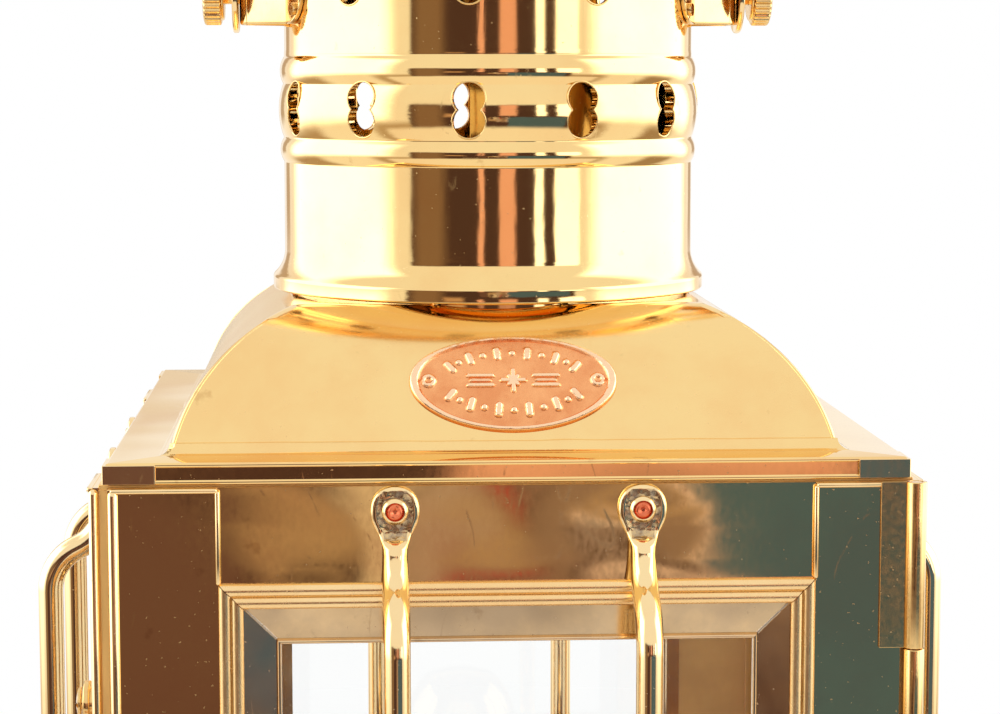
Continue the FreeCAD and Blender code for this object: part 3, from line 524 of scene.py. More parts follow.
def window_sheet(wall):
    """Wall sheet with its window cut out, very slightly uneven as hand-beaten sheet is."""
    prefix, body, turn = WALLS[wall]
    (left, front, bottom), (right, back, top) = wall_span(wall, "panel")
    frame_low, frame_high = wall_span(wall, "frame")
    half, thick = (frame_high.z - frame_low.z) / 2, back - front
    xs = stepped((left, -half, half, right), SHEET_STEP)
    zs = stepped((bottom, -half, half, top), SHEET_STEP)
    points, faces, paints = [], [], []
    for x in xs:
        for z in zs:
            inset = min(x - left, right - x, z - bottom, top - z, abs(max(abs(x), abs(z)) - half) + 1)
            uneven = 0.16 * smooth(inset, 0, 9) * (1 + noise.noise(Vector((x * 0.045, z * 0.06, turn + 1.5))))
            points += [(x, uneven, z), (x, thick, z)]

    def solid_cell(i, j):
        if not (0 <= i < len(xs) - 1 and 0 <= j < len(zs) - 1):
            return False
        return max(abs(xs[i] + xs[i + 1]), abs(zs[j] + zs[j + 1])) / 2 > half

    def corner(i, j, back):
        return 2 * (i * len(zs) + j) + back

    for i in range(len(xs) - 1):
        for j in range(len(zs) - 1):
            if not solid_cell(i, j):
                continue
            loop = [(i, j), (i + 1, j), (i + 1, j + 1), (i, j + 1)]
            for back in (0, 1):
                faces.append([corner(*spot, back) for spot in loop])
                paints.append(back)
            for number, (di, dj) in enumerate(((0, -1), (1, 0), (0, 1), (-1, 0))):
                if not solid_cell(i + di, j + dj):
                    first, second = loop[number], loop[(number + 1) % 4]
                    faces.append([corner(*first, 0), corner(*second, 0),
                                  corner(*second, 1), corner(*first, 1)])
                    paints.append(0)
    solid = Solid().add((points, faces), wall_place(wall), paints)
    return solid.piece(f"{prefix}_sheet", body, [WALL, INSIDE], [prefix + "_panel"], sharp=40)


def window_ring(wall):
    """Flat ring that slopes in to a rolled lip along the glass, soldered at its mitres."""
    prefix, body, _ = WALLS[wall]
    low, high = wall_span(wall, "frame")
    outer = (high.z - low.z) / 2
    inner = outer - RING_WIDTH
    profile = trace([(outer, 0.5), (outer, 2.0), (inner, 2.0), (inner, 0.65), (inner + 0.5, 0.15, 0.5, 1),
                     (inner + 1.0, 0.65, 0.5, 1), (inner + 1.2, 1.15)], 20)
    place = wall_place(wall)
    solid = Solid().add(mitred(profile, 0.05), place)
    for corner in range(4):
        turn = Matrix.Rotation(math.pi / 4 + corner * math.pi / 2, 4, "Y")
        rings = []
        for n in range(13):
            reach = math.sqrt(2) * (inner + 1.1 + (outer - inner - 1.3) * n / 12)
            depth = 1.1 - 0.6 * n / 12
            size = 0.32 + 0.16 * noise.noise(Vector((n * 0.6, corner * 7.0, len(wall))))
            rings.append([(size * c, depth - 0.5 * size * s, reach) for c, s in circle(8)])
        solid.add(loft(rings), place @ turn, 1)
    return solid.piece(f"{prefix}_window_ring", body, [SATIN, SOLDER], [prefix + "_frame"], sharp=40)


def strip_hems(wall):
    """Rolled hem along the inner and top edges of the strips, above and below the window."""
    prefix, body, _ = WALLS[wall]
    place = wall_place(wall)
    (left, _, bottom), (right, _, top) = wall_span(wall, "strips")
    moulding_low, moulding_high = wall_span(wall, "moulding")
    half = (moulding_high.z - moulding_low.z) / 2
    radius, depth, roll = 0.55, -1.0, 1.25
    solid = Solid()
    for side, edge in ((-1, left), (1, right)):
        inner = side * half
        for x0, z0, x1, z1 in ((inner, half, inner, top - radius), (inner, -half, inner, bottom + radius),
                               (inner, top - radius, edge - side * radius, top - radius)):
            solid.add(rounded_bar(Vector((x0, depth, z0)), Vector((x1, depth, z1)), radius), place)
        if (wall, side) == ("left", 1):
            rolls = [(edge, 0.1, 1.1)]
        elif (wall, side) in (("front", 1), ("right", -1)):
            rolls = []
        else:
            rolls = [(edge - side * (inset - 0.1), depth + 0.75 * inset - 0.5, roll)
                     for inset in (roll, 2.6 * roll)]
        for x, y, thick in rolls:
            solid.add(rounded_bar(Vector((x, y, bottom + 0.3)), Vector((x, y, top - 0.3)), thick), place)
    return solid.piece(f"{prefix}_strip_hems", body, [TRIM])


def rounded_bar(start, end, radius, count=20):
    """A round bar with domed ends."""
    along = (end - start).normalized()
    side = along.orthogonal().normalized()
    other = along.cross(side)
    rings = []
    for centre, direction, tilts in ((start, -1, (80, 55, 25, 0)), (end, 1, (0, 25, 55, 80))):
        for tilt in map(math.radians, tilts):
            middle = centre + along * direction * radius * (math.sin(tilt) - 1)
            size = radius * math.cos(tilt)
            rings.append([middle + size * (side * c + other * s) for c, s in circle(count)])
    return loft(rings)


def head_half_width(z, centre, radius):
    """Half width of the flattened head: round above the rivet, tapering to the neck below it."""
    if z >= centre:
        return radius * max(0.02, 1 - abs((z - centre) / radius) ** 2.3) ** (1 / 2.3)
    return HEAD_NECK + (radius - HEAD_NECK) * smooth(z, centre - radius * 1.55, centre - 0.5)


def guard_rod(wall, hand):
    """Drawn rod, bent out past the glass, with a beaten and riveted head at each end."""
    prefix, body, turn = WALLS[wall]
    node = f"{prefix}_rod_{hand}"
    low, high = wall_span(wall, f"rod_{hand}")
    head_radius, tip, reach = (high.x - low.x) / 2, high.z, -low.y - ROD_RADIUS
    head_centre = tip - head_radius
    neck_z, straight_z = head_centre - 8.4, head_centre - 29.9
    levels = [head_centre + head_radius * math.sin(math.radians(a)) for a in (88, 80, 70, 58, 46, 34, 22, 11)]
    upper = []
    for z in levels + [head_centre - 0.8 * n for n in range(11)]:
        wide = head_half_width(z, head_centre, head_radius)
        round_share = smooth(-z, 5.0 - head_centre, -neck_z)
        deep = HEAD_SHEET / 2 + (ROD_RADIUS - HEAD_SHEET / 2) * round_share
        if z > head_centre + head_radius * 0.8:
            deep *= 0.55 + 0.45 * math.cos((z - head_centre) / head_radius * math.pi / 2) ** 0.5
        upper.append((-max(deep, HEAD_SHEET / 2), z, -math.pi / 2, wide, deep, 4.2 - 2.0 * round_share))
    rise, run = reach - ROD_RADIUS, neck_z - straight_z
    bend = (rise ** 2 + run ** 2) / (4 * rise)
    swing = math.asin(run / 2 / bend)
    for n in range(1, 21):
        lean = swing * min(n, 20 - n) / 10
        out, down = bend * (1 - math.cos(lean)), bend * math.sin(lean)
        y, z = (-ROD_RADIUS - out, neck_z - down) if n <= 10 else (-reach + out, straight_z + down)
        wide = ROD_RADIUS - 0.25 * (1 - smooth(n - 1, 0, 7))
        upper.append((y, z, -math.pi / 2 - lean, wide, ROD_RADIUS, 2.2 - 0.2 * smooth(n - 1, 0, 5)))
    lower = [(y, -z, math.pi - heading, *size) for y, z, heading, *size in upper]
    rings = planar_sweep(upper + [(-reach, 0, -math.pi / 2, ROD_RADIUS, ROD_RADIUS, 2)] + lower[::-1])
    seed = Vector((3.1 * len(node), turn, 7.7 if hand == "a" else 2.2))
    points, faces = loft([[beat_head(p, head_centre, head_radius, seed) for p in ring] for ring in rings])
    paints = []
    for face in faces:
        x, y, z = (sum(values) / len(face) for values in zip(*((abs(points[c][0]), points[c][1],
                                                                 abs(points[c][2])) for c in face)))
        limit = 0.72 * head_half_width(z, head_centre, head_radius)
        paints.append(1 if head_centre - 6.2 < z < tip - 1.0 and y < -1.4 and x < limit else 0)
    place = wall_place(wall) @ Matrix.Translation(((low.x + high.x) / 2, 0, 0))
    solid = Solid().add((points, faces), place, paints)
    return solid.piece(f"{prefix}_guard_rod_{hand}", body, [DRAWN, BEATEN], [node], sharp=60)


def beat_head(point, centre, radius, seed):
    """Dishes and pits the front of a rod's head, and leaves the rest as it is."""
    x, y, z = point
    wide = head_half_width(min(abs(z), centre + radius * 0.98), centre, radius)
    if abs(z) < centre - 7.5 or y > -HEAD_SHEET * 0.7:
        return point
    inside = 1 - smooth(abs(x) / wide, 0.6, 0.86)
    inside *= 1 - smooth(abs(z), centre + radius * 0.62, centre + radius * 0.86)
    inside *= smooth(abs(z), centre - 7.4, centre - 5.4)
    pits = noise.noise(Vector((x * 0.9, z * 0.9, 0)) + seed) * 0.16
    return x, y + inside * (0.28 + pits), z


RIVET = [(0, 0.45), (0.45, 0.42), (0.7, 0.62), (1.2, 0.85), (1.7, 0.7), (1.95, 0.4), (2.0, 0.75),
         (2.12, 0.98), (2.3, 0.96), (2.6, 0.66), (2.9, 0.34), (3.0, 0.15), (3.0, 0.0), (0, 0.0)]
BURR = [(0, 0.75), (1.3, 0.68), (2.2, 0.45), (2.6, 0.0), (0, 0)]
COPPER_EDGE = 1.96


def rivets(walls, name, body, node):
    """Rivets of the rods' heads: a bright washer ring round a peened copper shank, and a burr inside."""
    solid = Solid()
    for wall, hand in ((wall, hand) for wall in walls for hand in ("a", "b")):
        place = wall_place(wall)
        low, high = wall_span(wall, f"rod_{hand}")
        x, head_z = (low.x + high.x) / 2, high.z - (high.x - low.x) / 2
        for up in (-1, 1):
            seat = Matrix.Translation((x, -HEAD_SHEET + 0.28, up * head_z)) @ Matrix.Rotation(
                math.radians(90), 4, "X") @ Matrix.Rotation(random.uniform(-3, 3), 4, "Z")
            lopsided = random.uniform(0.02, 0.07)
            phase = random.uniform(0, 6)

            def out_of_round(r, h, angle):
                return r * (1 + lopsided * math.cos(2 * angle + phase) * (r < COPPER_EDGE))

            points, faces = turned(RIVET, 40, out_of_round)
            paints = [1 if max(math.hypot(*points[c][:2]) for c in face) < COPPER_EDGE + 0.1 else 0
                      for face in faces]
            solid.add((points, faces), place @ seat, paints)
            inner = Matrix.Translation((x, 1.2, up * head_z)) @ Matrix.Rotation(math.radians(-90), 4, "X")
            solid.add(turned(BURR, 28), place @ inner, 1)
    return solid.piece(name, body, [TRIM, COPPER], [node], "copper", 40)


# ---------------------------------------------------------------- base

BASE_HALF, _, BASE_TOP = span("base_tray")[1]


def flat_mitred(profile):
    """Four bars round an upright axis: the profile is (distance out, height)."""
    points, faces = mitred(profile)
    return [(x, z, y) for x, y, z in points], faces


def base_tray():
    """Pressed pan: rolled foot, coved skirt and a flat floor, with a soldered corner seam."""
    half, top = BASE_HALF, BASE_TOP
    profile = trace([(half - 12, 0.0), (half - 0.7, 0.0), (half, 0.7, 0.7, 1), (half, 1.9),
                     (half - 0.8, 3.0, 1.0, 1), (half - 4.5, top - 1.8, 9, -1),
                     (half - 4.9, top - 0.5, 0.8, 1), (half - 5.9, top, 0.9, 1), (0.01, top),
                     (0.01, top - 1.0), (half - 6.2, top - 1.2), (half - 6.2, 1.2), (half - 12, 1.2)], 10)
    solid = Solid().add(flat_mitred(profile))
    for quarter in range(4):
        turn = Matrix.Rotation(math.pi / 4 + quarter * math.pi / 2, 4, "Z")
        rings = []
        for n, (out, height) in enumerate(profile[3:-7]):
            size = 0.35 + 0.15 * noise.noise(Vector((n * 0.5, quarter * 5.0, 0)))
            reach = out * math.sqrt(2) - 0.2
            rings.append([(reach + size * c, size * s, height) for c, s in circle(8)])
        solid.add(loft(rings), turn, 1)
    return solid.piece("base_pan", "body", [WALL, SOLDER], ["base_tray"], sharp=30)


def lamp_ring():
    """Rolled ring on the floor that the fount drops into."""
    low, high = span("lamp_ring")
    outer, foot, top = high.x, low.z, high.z
    outline = trace([(outer - 2.4, foot), (outer - 0.3, foot), (outer, foot + 0.3, 0.3, 1),
                     (outer, foot + 0.9, 0.4, 1), (outer - 0.8, foot + 1.5, 0.9, -1),
                     (outer - 1.4, top - 0.5), (outer - 1.9, top, 0.5, 1),
                     (outer - 2.4, top - 0.5, 0.5, 1)], 20)
    return Solid().add(turned(outline, 128)).piece("fount_ring", "body", [SPUN], ["lamp_ring"])


# ---------------------------------------------------------------- roof and hood

ROOF_LOW, ROOF_HIGH = span("roof_plate")
ROOF_Z, ROOF_HALF = ROOF_HIGH.z, ROOF_HIGH.x
HOOD_HALF, _, HOOD_TOP = span("hood")[1]
# Each hood panel is an arc about an axis this far out from the middle and this far below the roof.
HOOD_RADIUS, HOOD_CENTRE, HOOD_SINK = 42.9, 34.7, 9.1
FLUE = span("chimney_tube")[1].x - 3.2


def roof_plate():
    """Folded roof plate: a rim with rolled edges, hemmed below."""
    half, low, top = ROOF_HALF, ROOF_LOW.z, ROOF_Z
    way = HOOD_HALF - 10
    profile = trace([(way, top - 1.0), (half - 1.0, top - 1.0), (half - 1.0, low + 0.4),
                     (half - 0.55, low, 0.5, 1), (half, low + 0.45, 0.5, 1), (half - 0.25, low + 1.1, 0.6, 1),
                     (half - 0.35, top - 1.1), (half, top - 0.55, 0.6, 1), (half - 0.5, top, 0.55, 1),
                     (way, top)], 15)
    return Solid().add(flat_mitred(profile)).piece("roof_sheet", "body", [WALL], ["roof_plate"], sharp=30)


def hood_arc(count):
    """(distance out, height) up one hood panel, from its foot to the flat top."""
    centre_z = ROOF_Z - HOOD_SINK
    low = math.asin(HOOD_SINK / HOOD_RADIUS)
    high = math.asin((HOOD_TOP - centre_z) / HOOD_RADIUS)
    angles = [low + (high - low) * n / count for n in range(count + 1)]
    return [(HOOD_CENTRE + HOOD_RADIUS * math.cos(a), centre_z + HOOD_RADIUS * math.sin(a)) for a in angles]


def hood():
    """Four rolled panels, mitred at the hips, under a flat crown with the flue's hole."""
    across, up = 40, 36
    arc = hood_arc(up)
    edge = arc[-1][0]
    shares = [2 * n / across - 1 for n in range(across + 1)]
    solid = Solid()
    for quarter in range(4):
        turn = Matrix.Rotation(quarter * math.pi / 2, 4, "Z")
        points = []
        for row, (out, z) in enumerate(arc):
            for share in shares:
                fade = (1 - share ** 4) * math.sin(math.pi * row / up)
                dent = 0.35 * fade * noise.noise(Vector((share * 1.6 + quarter * 9, row / up * 1.4, 3.0)))
                points.append((share * out, -out + dent, z))
        solid.add((points, grid_faces(up + 1, across + 1)), turn)
        crown = []
        for share in shares:
            angle = -math.pi / 2 + share * math.pi / 4
            hole = Vector(((FLUE - 0.4) * math.cos(angle), (FLUE - 0.4) * math.sin(angle)))
            for blend in (0.0, 0.5, 1.0):
                crown.append((*Vector((share * edge, -edge)).lerp(hole, blend), HOOD_TOP))
        solid.add((crown, grid_faces(across + 1, 3)), turn)
    obj = solid.piece("hood_shell", "body", [HOOD], ["hood"], sharp=38)
    shell = obj.modifiers.new("sheet", "SOLIDIFY")
    shell.thickness = 1.0 * MM
    shell.offset = -1


def hood_seams():
    """Filed seams up the hips and the coved foot where each panel turns out onto the roof."""
    arc = hood_arc(30)
    solid = Solid()
    for quarter in range(4):
        turn = Matrix.Rotation(math.pi / 4 + quarter * math.pi / 2, 4, "Z")
        rings = []
        for n, (out, z) in enumerate(arc):
            size = 0.42 + 0.12 * noise.noise(Vector((n * 0.4, quarter * 3.0, 1.0)))
            reach = out * math.sqrt(2) - 0.25
            rings.append([(reach + size * c, 1.3 * size * s, z - 0.15) for c, s in circle(10)])
        solid.add(loft(rings), turn, 0)
        rings = []
        steps = 90
        for n in range(steps + 1):
            share = 2 * n / steps - 1
            size = 2.6 + 0.25 * noise.noise(Vector((share * 8, quarter * 11.0, 4.0))) * (1 - abs(share))
            ring = [(HOOD_HALF - 0.6, ROOF_Z - 0.1), (HOOD_HALF + size, ROOF_Z - 0.1)]
            for degrees in (3, 15, 30, 45, 60, 75, 87):
                a = math.radians(degrees)
                ring.append((HOOD_HALF + size * (1 - math.sin(a)), ROOF_Z + size * (1 - math.cos(a))))
            ring.append((HOOD_HALF - 1.4, ROOF_Z + size))
            rings.append([(share * out, -out, z) for out, z in ring])
        solid.add(loft(rings), Matrix.Rotation(quarter * math.pi / 2, 4, "Z"), 0)
    return solid.piece("hood_seams", "body", [HOOD], sharp=70)


# ---------------------------------------------------------------- badge

BADGE_WIDE, BADGE_TALL, BADGE_SHEET, BADGE_RELIEF = 24.0, 12.3, 1.2, 0.6
BADGE_LEAN = math.atan2(24.4, 35.3)


def bar_height(u, v, centre_u, centre_v, angle, length, width, rise):
    """Height of a round-topped bar at a point."""
    du, dv = u - centre_u, v - centre_v
    along = abs(du * math.cos(angle) + dv * math.sin(angle)) - length / 2
    aside = abs(-du * math.sin(angle) + dv * math.cos(angle))
    gap = math.hypot(max(along, 0), aside)
    return rise * (1 - smooth(gap, width * 0.55, width))


def badge_height(u, v):
    """Raised rim, beaded arcs above and below, a rule each side of a star, and a ring dot at each end."""
    edge = math.hypot(u / BADGE_WIDE, v / BADGE_TALL)
    height = 0.62 * smooth(edge, 0.905, 0.93) * (1 - 0.7 * smooth(edge, 0.98, 1.0))
    for sign in (-1, 1):
        for number in range(11):
            angle = math.radians(90 + (number - 5) * 12.2) * sign
            bead_u, bead_v = 16.6 * math.cos(angle), 7.4 * math.sin(angle)
            slope = math.atan2(7.4 * math.cos(angle), -16.6 * math.sin(angle))
            length, width = (2.1, 0.95) if number % 2 == 0 else (0.1, 0.85)
            height = max(height, bar_height(u, v, bead_u, bead_v, slope + math.pi / 2, length, width, 0.6))
        for level in (1.25, -1.25):
            height = max(height, bar_height(u, v, sign * 7.6, level, 0, 5.6, 0.6, 0.55))
        height = max(height, bar_height(u, v, sign * 7.6, 0, 0, 4.2, 0.5, 0.4))
        ring = abs(math.hypot(u - sign * 19.6, v) - 1.2)
        height = max(height, 0.6 * (1 - smooth(ring, 0.3, 0.65)))
    for point in range(8):
        angle = math.pi / 4 * point
        length = 2.4 if point % 2 == 0 else 1.2
        middle = length / 2 + 0.2
        height = max(height, bar_height(u, v, middle * math.cos(angle), middle * math.sin(angle), angle,
                                        length, 0.65, 0.6))
    return height


def badge():
    """Oval plaque bent to the hood's front panel, with a generic ornament."""
    low, high = span("badge")
    middle_x = (low.x + high.x) / 2
    normal = Vector((0, -math.cos(BADGE_LEAN), math.sin(BADGE_LEAN)))
    upward = Vector((0, math.sin(BADGE_LEAN), math.cos(BADGE_LEAN)))
    axis = Vector((middle_x, -HOOD_CENTRE, ROOF_Z - HOOD_SINK))
    rows, segments = 70, 300
    rings, heights = [], []

    def place(u, v, lift):
        radius = HOOD_RADIUS + lift
        return axis + Vector((u, 0, 0)) + upward * v + normal * math.sqrt(radius ** 2 - v ** 2)

    for row in range(rows + 1):
        share = 0.02 + 0.98 * row / rows
        ring = []
        for c, s in circle(segments):
            u, v = BADGE_WIDE * share * c, BADGE_TALL * share * s
            height = badge_height(u, v) * (1 + 0.1 * noise.noise(Vector((u, v, 0))))
            heights.append(height / BADGE_RELIEF)
            ring.append(place(u, v, BADGE_SHEET - BADGE_RELIEF + height))
        rings.append(ring)
    rings.append([place(BADGE_WIDE * 1.004 * c, BADGE_TALL * 1.006 * s, 0.02) for c, s in circle(segments)])
    heights += [0.0] * segments
    obj = Solid().add(loft(rings)).piece("hood_badge", "body", [PLAQUE], ["badge"], "copper", 50)
    relief = obj.data.attributes.new("relief", "FLOAT", "POINT")
    relief.data.foreach_set("value", heights)


# ---------------------------------------------------------------- flue and cap

VENT_PHASE = -8.0
BAND_RADIUS, BAND_HALF = 20.0, 6.0
VENT_RADIUS, VENT_PITCH = 3.85, 5.6
LIP = 0.24
SPUN_EDGE = 32


def vent_outline(radius, count=24):
    """Points round a figure-eight of two touching lobes, as (across, up)."""
    half = VENT_PITCH / 2
    waist = math.asin(half / radius)
    points = []
    for lobe in (1, -1):
        for n in range(count + 1):
            angle = -waist + (math.pi + 2 * waist) * n / count
            x, y = radius * math.cos(angle), half + radius * math.sin(angle)
            points.append((x, y) if lobe > 0 else (-x, -y))
    return points


def vent_places():
    """(angle in degrees, height) of every vent."""
    angles = [30 * n for n in range(-2, 3)] + [-97.5, 97.5] + [180 + 30 * (n + 0.5) for n in range(-2, 2)]
    lower = [(VENT_PHASE + angle, ROOF_Z + 77.5) for angle in angles]
    upper = [(side + VENT_PHASE + 35 * n, ROOF_Z + 109) for side in (0, 180) for n in (-1, 0, 1)]
    return lower + upper


def wrap(across, up, angle, height, radius):
    """A point on the flue: distances across and up from a vent's centre, at a radius."""
    turn = math.radians(angle) + across / FLUE
    return radius * math.sin(turn), -radius * math.cos(turn), height + up


def flue_outline():
    """Spun outline: flared foot, bead, bulged band, bead and a plain neck."""
    z, r = ROOF_Z, FLUE
    top = HOOD_TOP
    steps = [(r - 0.6, top - 2), (r - 0.6, top + 0.7), (r + 1.6, top + 1.0, 3, -1), (r + 2.9, top + 0.5),
             (r + 3.2, top + 1.0, 0.5, 1), (r + 3.2, z + 34.6), (r + 2.9, z + 35.6, 1.2, 1),
             (r + 0.25, z + 41.5, 8, -1), (r + 0.2, z + 63.6), (r + 0.35, z + 64.2, 0.8, -1),
             (r + 0.35, z + 69.8, 5.4, 1), (r + 0.35, z + 70.4, 0.6, -1), (r + 0.6, z + 71),
             (r + 0.6, z + 83, BAND_RADIUS, 1), (r + 0.35, z + 83.5), (r + 0.35, z + 90.0, 6.8, 1),
             (r + 0.1, z + 90.9, 1.0, -1), (r, z + 92), (r, z + 126), (r - 1, z + 126), (r - 1, z + 42),
             (r + 1.6, z + 36.5), (r + 1.6, top + 2.2), (r - 1.0, top + 2.0), (r - 1.0, top - 2)]
    return trace(steps, 5)


def flue():
    """Spun flue with punched figure-eight vents."""
    solid = Solid().add(turned(flue_outline(), 360))
    obj = solid.piece("spun_flue", "body", [SPUN, INSIDE], ["chimney_tube"], sharp=SPUN_EDGE)
    punches = Solid()
    for angle, height in vent_places():
        punches.add(loft([[wrap(x, y, angle, height, radius) for x, y in vent_outline(VENT_RADIUS)]
                          for radius in (FLUE - 8, FLUE + 9)]))
    cut_away(obj, punches, 30)
    obj.data.set_sharp_from_angle(angle=math.radians(SPUN_EDGE))


def vent_lips():
    """Turned-up burr round each vent."""
    solid = Solid()
    for angle, height in vent_places():
        on_band = height < ROOF_Z + 90
        outline = vent_outline(VENT_RADIUS + 0.1, 20)
        rings = []
        for x, y in outline:
            crown = FLUE
            if on_band:
                level = min(abs(y - 0.5), BAND_HALF)
                crown += 0.55 + math.sqrt(BAND_RADIUS ** 2 - level ** 2) - math.sqrt(
                    BAND_RADIUS ** 2 - BAND_HALF ** 2)
            out_x, out_y = x / math.hypot(x, y), y / math.hypot(x, y)
            rings.append([wrap(x + out_x * LIP * c, y + out_y * LIP * c, angle, height, crown + LIP * s)
                          for c, s in circle(8)])
        rings.append(rings[0])
        solid.add(loft(rings, capped=False))
    return solid.piece("vent_lips", "body", [HARDWARE], sharp=80)


def cap():
    """Spun cap: rolled rim, shallow dome, step and ball finial."""
    z, r = ROOF_Z, FLUE
    ball, ball_z, foot = 5.0, 160.5, math.radians(50)
    steps = [(r + 0.1, z + 119), (r + 1.1, z + 119), (r + 1.3, z + 119.3), (r + 1.3, z + 123),
             (r + 4.6, z + 125.5, 3.6, 1), (r + 4.6, z + 128, 1.6, 1), (r + 3.4, z + 128.5),
             (r + 1.5, z + 129.5, 2.0, -1), (24, z + 147, 62, 1), (24.0, z + 149.2),
             (23.5, z + 149.7, 0.5, 1), (12, z + 153.5, 18, 1), (5.2, z + 155.4, 9, -1),
             (ball * math.cos(foot), z + ball_z - ball * math.sin(foot)), (0, z + ball_z + ball, ball, 1),
             (0, z + 152), (11, z + 151.6), (22.5, z + 147.2), (22.5, z + 146), (r + 0.4, z + 128.6, 61, -1),
             (r + 0.1, z + 126.5)]
    solid = Solid().add(turned(trace(steps, 5), 240))
    return solid.piece("spun_cap", "body", [SPUN], ["chimney_cap"], sharp=SPUN_EDGE)


# ---------------------------------------------------------------- bail and its fittings

NUT_LOW, NUT_HIGH = span("thumb_nut_right")
PIVOT = (NUT_LOW.z + NUT_HIGH.z) / 2
NUT_RADIUS = (NUT_HIGH.z - NUT_LOW.z) / 2
STUD_RADIUS = 2.3


def along_axis(side, start):
    """Turned shapes stood on the bail's axis, their height pointing out from the flue."""
    return Matrix.Translation((side * start, 0, PIVOT)) @ Matrix.Rotation(side * math.pi / 2, 4, "Y")


def ear(side, name, node):
    """Strap round a stud: flat nose, sloping legs and round-ended feet riveted to the flue."""
    low, high = span(node)
    tall, sheet, radius = (high.z - low.z) / 2, 0.6, FLUE + 0.65
    nose = max(abs(low.x), abs(high.x)) - sheet
    tip, root = (Vector((radius * math.cos(a), radius * math.sin(a))) for a in map(math.radians, (27, 15.5)))
    path = trace([(tip.x, -tip.y), (root.x, -root.y, radius, 1), (nose - 1.5, -6.4), (nose, -4.2, 2.7, 1),
                  (nose, 4.2), (nose - 1.5, 6.4, 2.7, 1), (root.x, root.y), (tip.x, tip.y, radius, 1)],
                 2, closed=False)
    path = refined(path, 0.6, closed=False)
    travelled = [0.0]
    for before, after in zip(path, path[1:]):
        travelled.append(travelled[-1] + math.dist(before, after))
    stations = []
    for number, (x, y) in enumerate(path):
        before, after = path[max(number - 1, 0)], path[min(number + 1, len(path) - 1)]
        heading = math.atan2(after[1] - before[1], after[0] - before[0])
        end = min(travelled[number], travelled[-1] - travelled[number], tall - 0.01)
        half = math.sqrt(tall ** 2 - (tall - max(end, 0.01)) ** 2)
        stations.append((x, y, heading, half, sheet, 7))
    rings = [[(a, b, w) for w, a, b in ring] for ring in planar_sweep(stations, 96)]
    place = Matrix.Translation((0, 0, PIVOT)) @ Matrix.Rotation(0 if side > 0 else math.pi, 4, "Z")
    return Solid().add(loft(rings), place).piece(name, "body", [HARDWARE], [node], sharp=40)


def milled(outline, teeth, edge, depth=0.45, reach=0.6, step=0.9):
    """A turned knob whose rim is milled into teeth, fading out over a reach below the edge."""

    def rim(radius, height, angle):
        groove = depth * smooth(radius, edge - reach, edge - 0.1)
        return radius - groove * (0.5 + 0.5 * math.cos(teeth * angle)) ** 2

    return turned(refined(outline, step), teeth * 10, rim)


def thumb_nut(side, name, body, node):
    """Knurled thumb nut with a turned neck and a dished face."""
    low, high = span(node)
    start, length = min(abs(low.x), abs(high.x)), high.x - low.x
    r = NUT_RADIUS
    outline = trace([(STUD_RADIUS + 0.1, 0), (r - 1.6, 0), (r - 1.2, 0.5, 0.5, 1), (r - 0.3, 0.8),
                     (r, 1.2, 0.4, 1), (r, length - 0.9), (r - 0.5, length - 0.3, 0.6, 1),
                     (r - 1.8, length, 3, 1), (r - 2.4, length - 0.5, 0.8, -1),
                     (STUD_RADIUS + 1.2, length - 0.7), (STUD_RADIUS + 0.5, length),
                     (STUD_RADIUS + 0.1, length)], 20)
    solid = Solid().add(milled(outline, 30, r, 0.5, 0.7, 0.8), along_axis(side, start))
    return solid.piece(name, body, [HARDWARE], [node], "brass_hardware", 28)


def bail():
    """Round bow, forged flat into an eye at each end."""
    low, high = span("bail")
    radius, eye_radius, eye_sheet = 3.0, 9.5, 1.5
    half = (high.x - low.x) / 2 - radius
    turn = high.z - radius - half
    eye_in = half - 3.1
    flat_x = eye_in + eye_sheet / 2
    leg = []
    for n in range(15):
        share = smooth(n, 1, 13)
        wide, deep = 4.6 - 1.6 * share, eye_sheet / 2 + (radius - eye_sheet / 2) * share
        leg.append((-(flat_x + (half - flat_x) * share), PIVOT + eye_radius - 2.6 + n, math.pi / 2,
                    wide, deep, 3.4 - 1.4 * share))
    steps = 48
    bow = []
    for n in range(steps + 1):
        angle = math.pi - math.pi * n / steps
        bow.append((half * math.cos(angle), turn + half * math.sin(angle), angle - math.pi / 2,
                    radius, radius, 2))
    other_leg = [(-x, z, -heading, *size) for x, z, heading, *size in reversed(leg)]
    solid = Solid()
    solid.add(loft([[(a, w, b) for w, a, b in ring] for ring in planar_sweep(leg + bow + other_leg, 32)]))
    edge = 0.45
    outline = trace([(STUD_RADIUS + 0.1, 0), (eye_radius - edge, 0), (eye_radius, edge, edge, 1),
                     (eye_radius, eye_sheet - edge), (eye_radius - edge, eye_sheet, edge, 1),
                     (STUD_RADIUS + 0.1, eye_sheet)], 25)
    for side in (-1, 1):
        solid.add(turned(outline, 96), along_axis(side, eye_in))
    return solid.piece("bail_bow", "bail", [DRAWN], ["bail"], "brass_hardware", 40)





# ---------------------------------------------------------------- hinge

KNUCKLES, TOP_KNUCKLE, KNUCKLE_GAP = 5, 38.4, 0.25
BARREL, LEAF = 2.4, 0.8


def knuckle(low, high):
    """One rolled knuckle with eased ends."""
    outline = trace([(1.5, low), (BARREL - 0.25, low), (BARREL, low + 0.25, 0.25, 1), (BARREL, high - 0.25),
                     (BARREL - 0.25, high, 0.25, 1), (1.5, high)], 30)
    return turned(outline, 48)


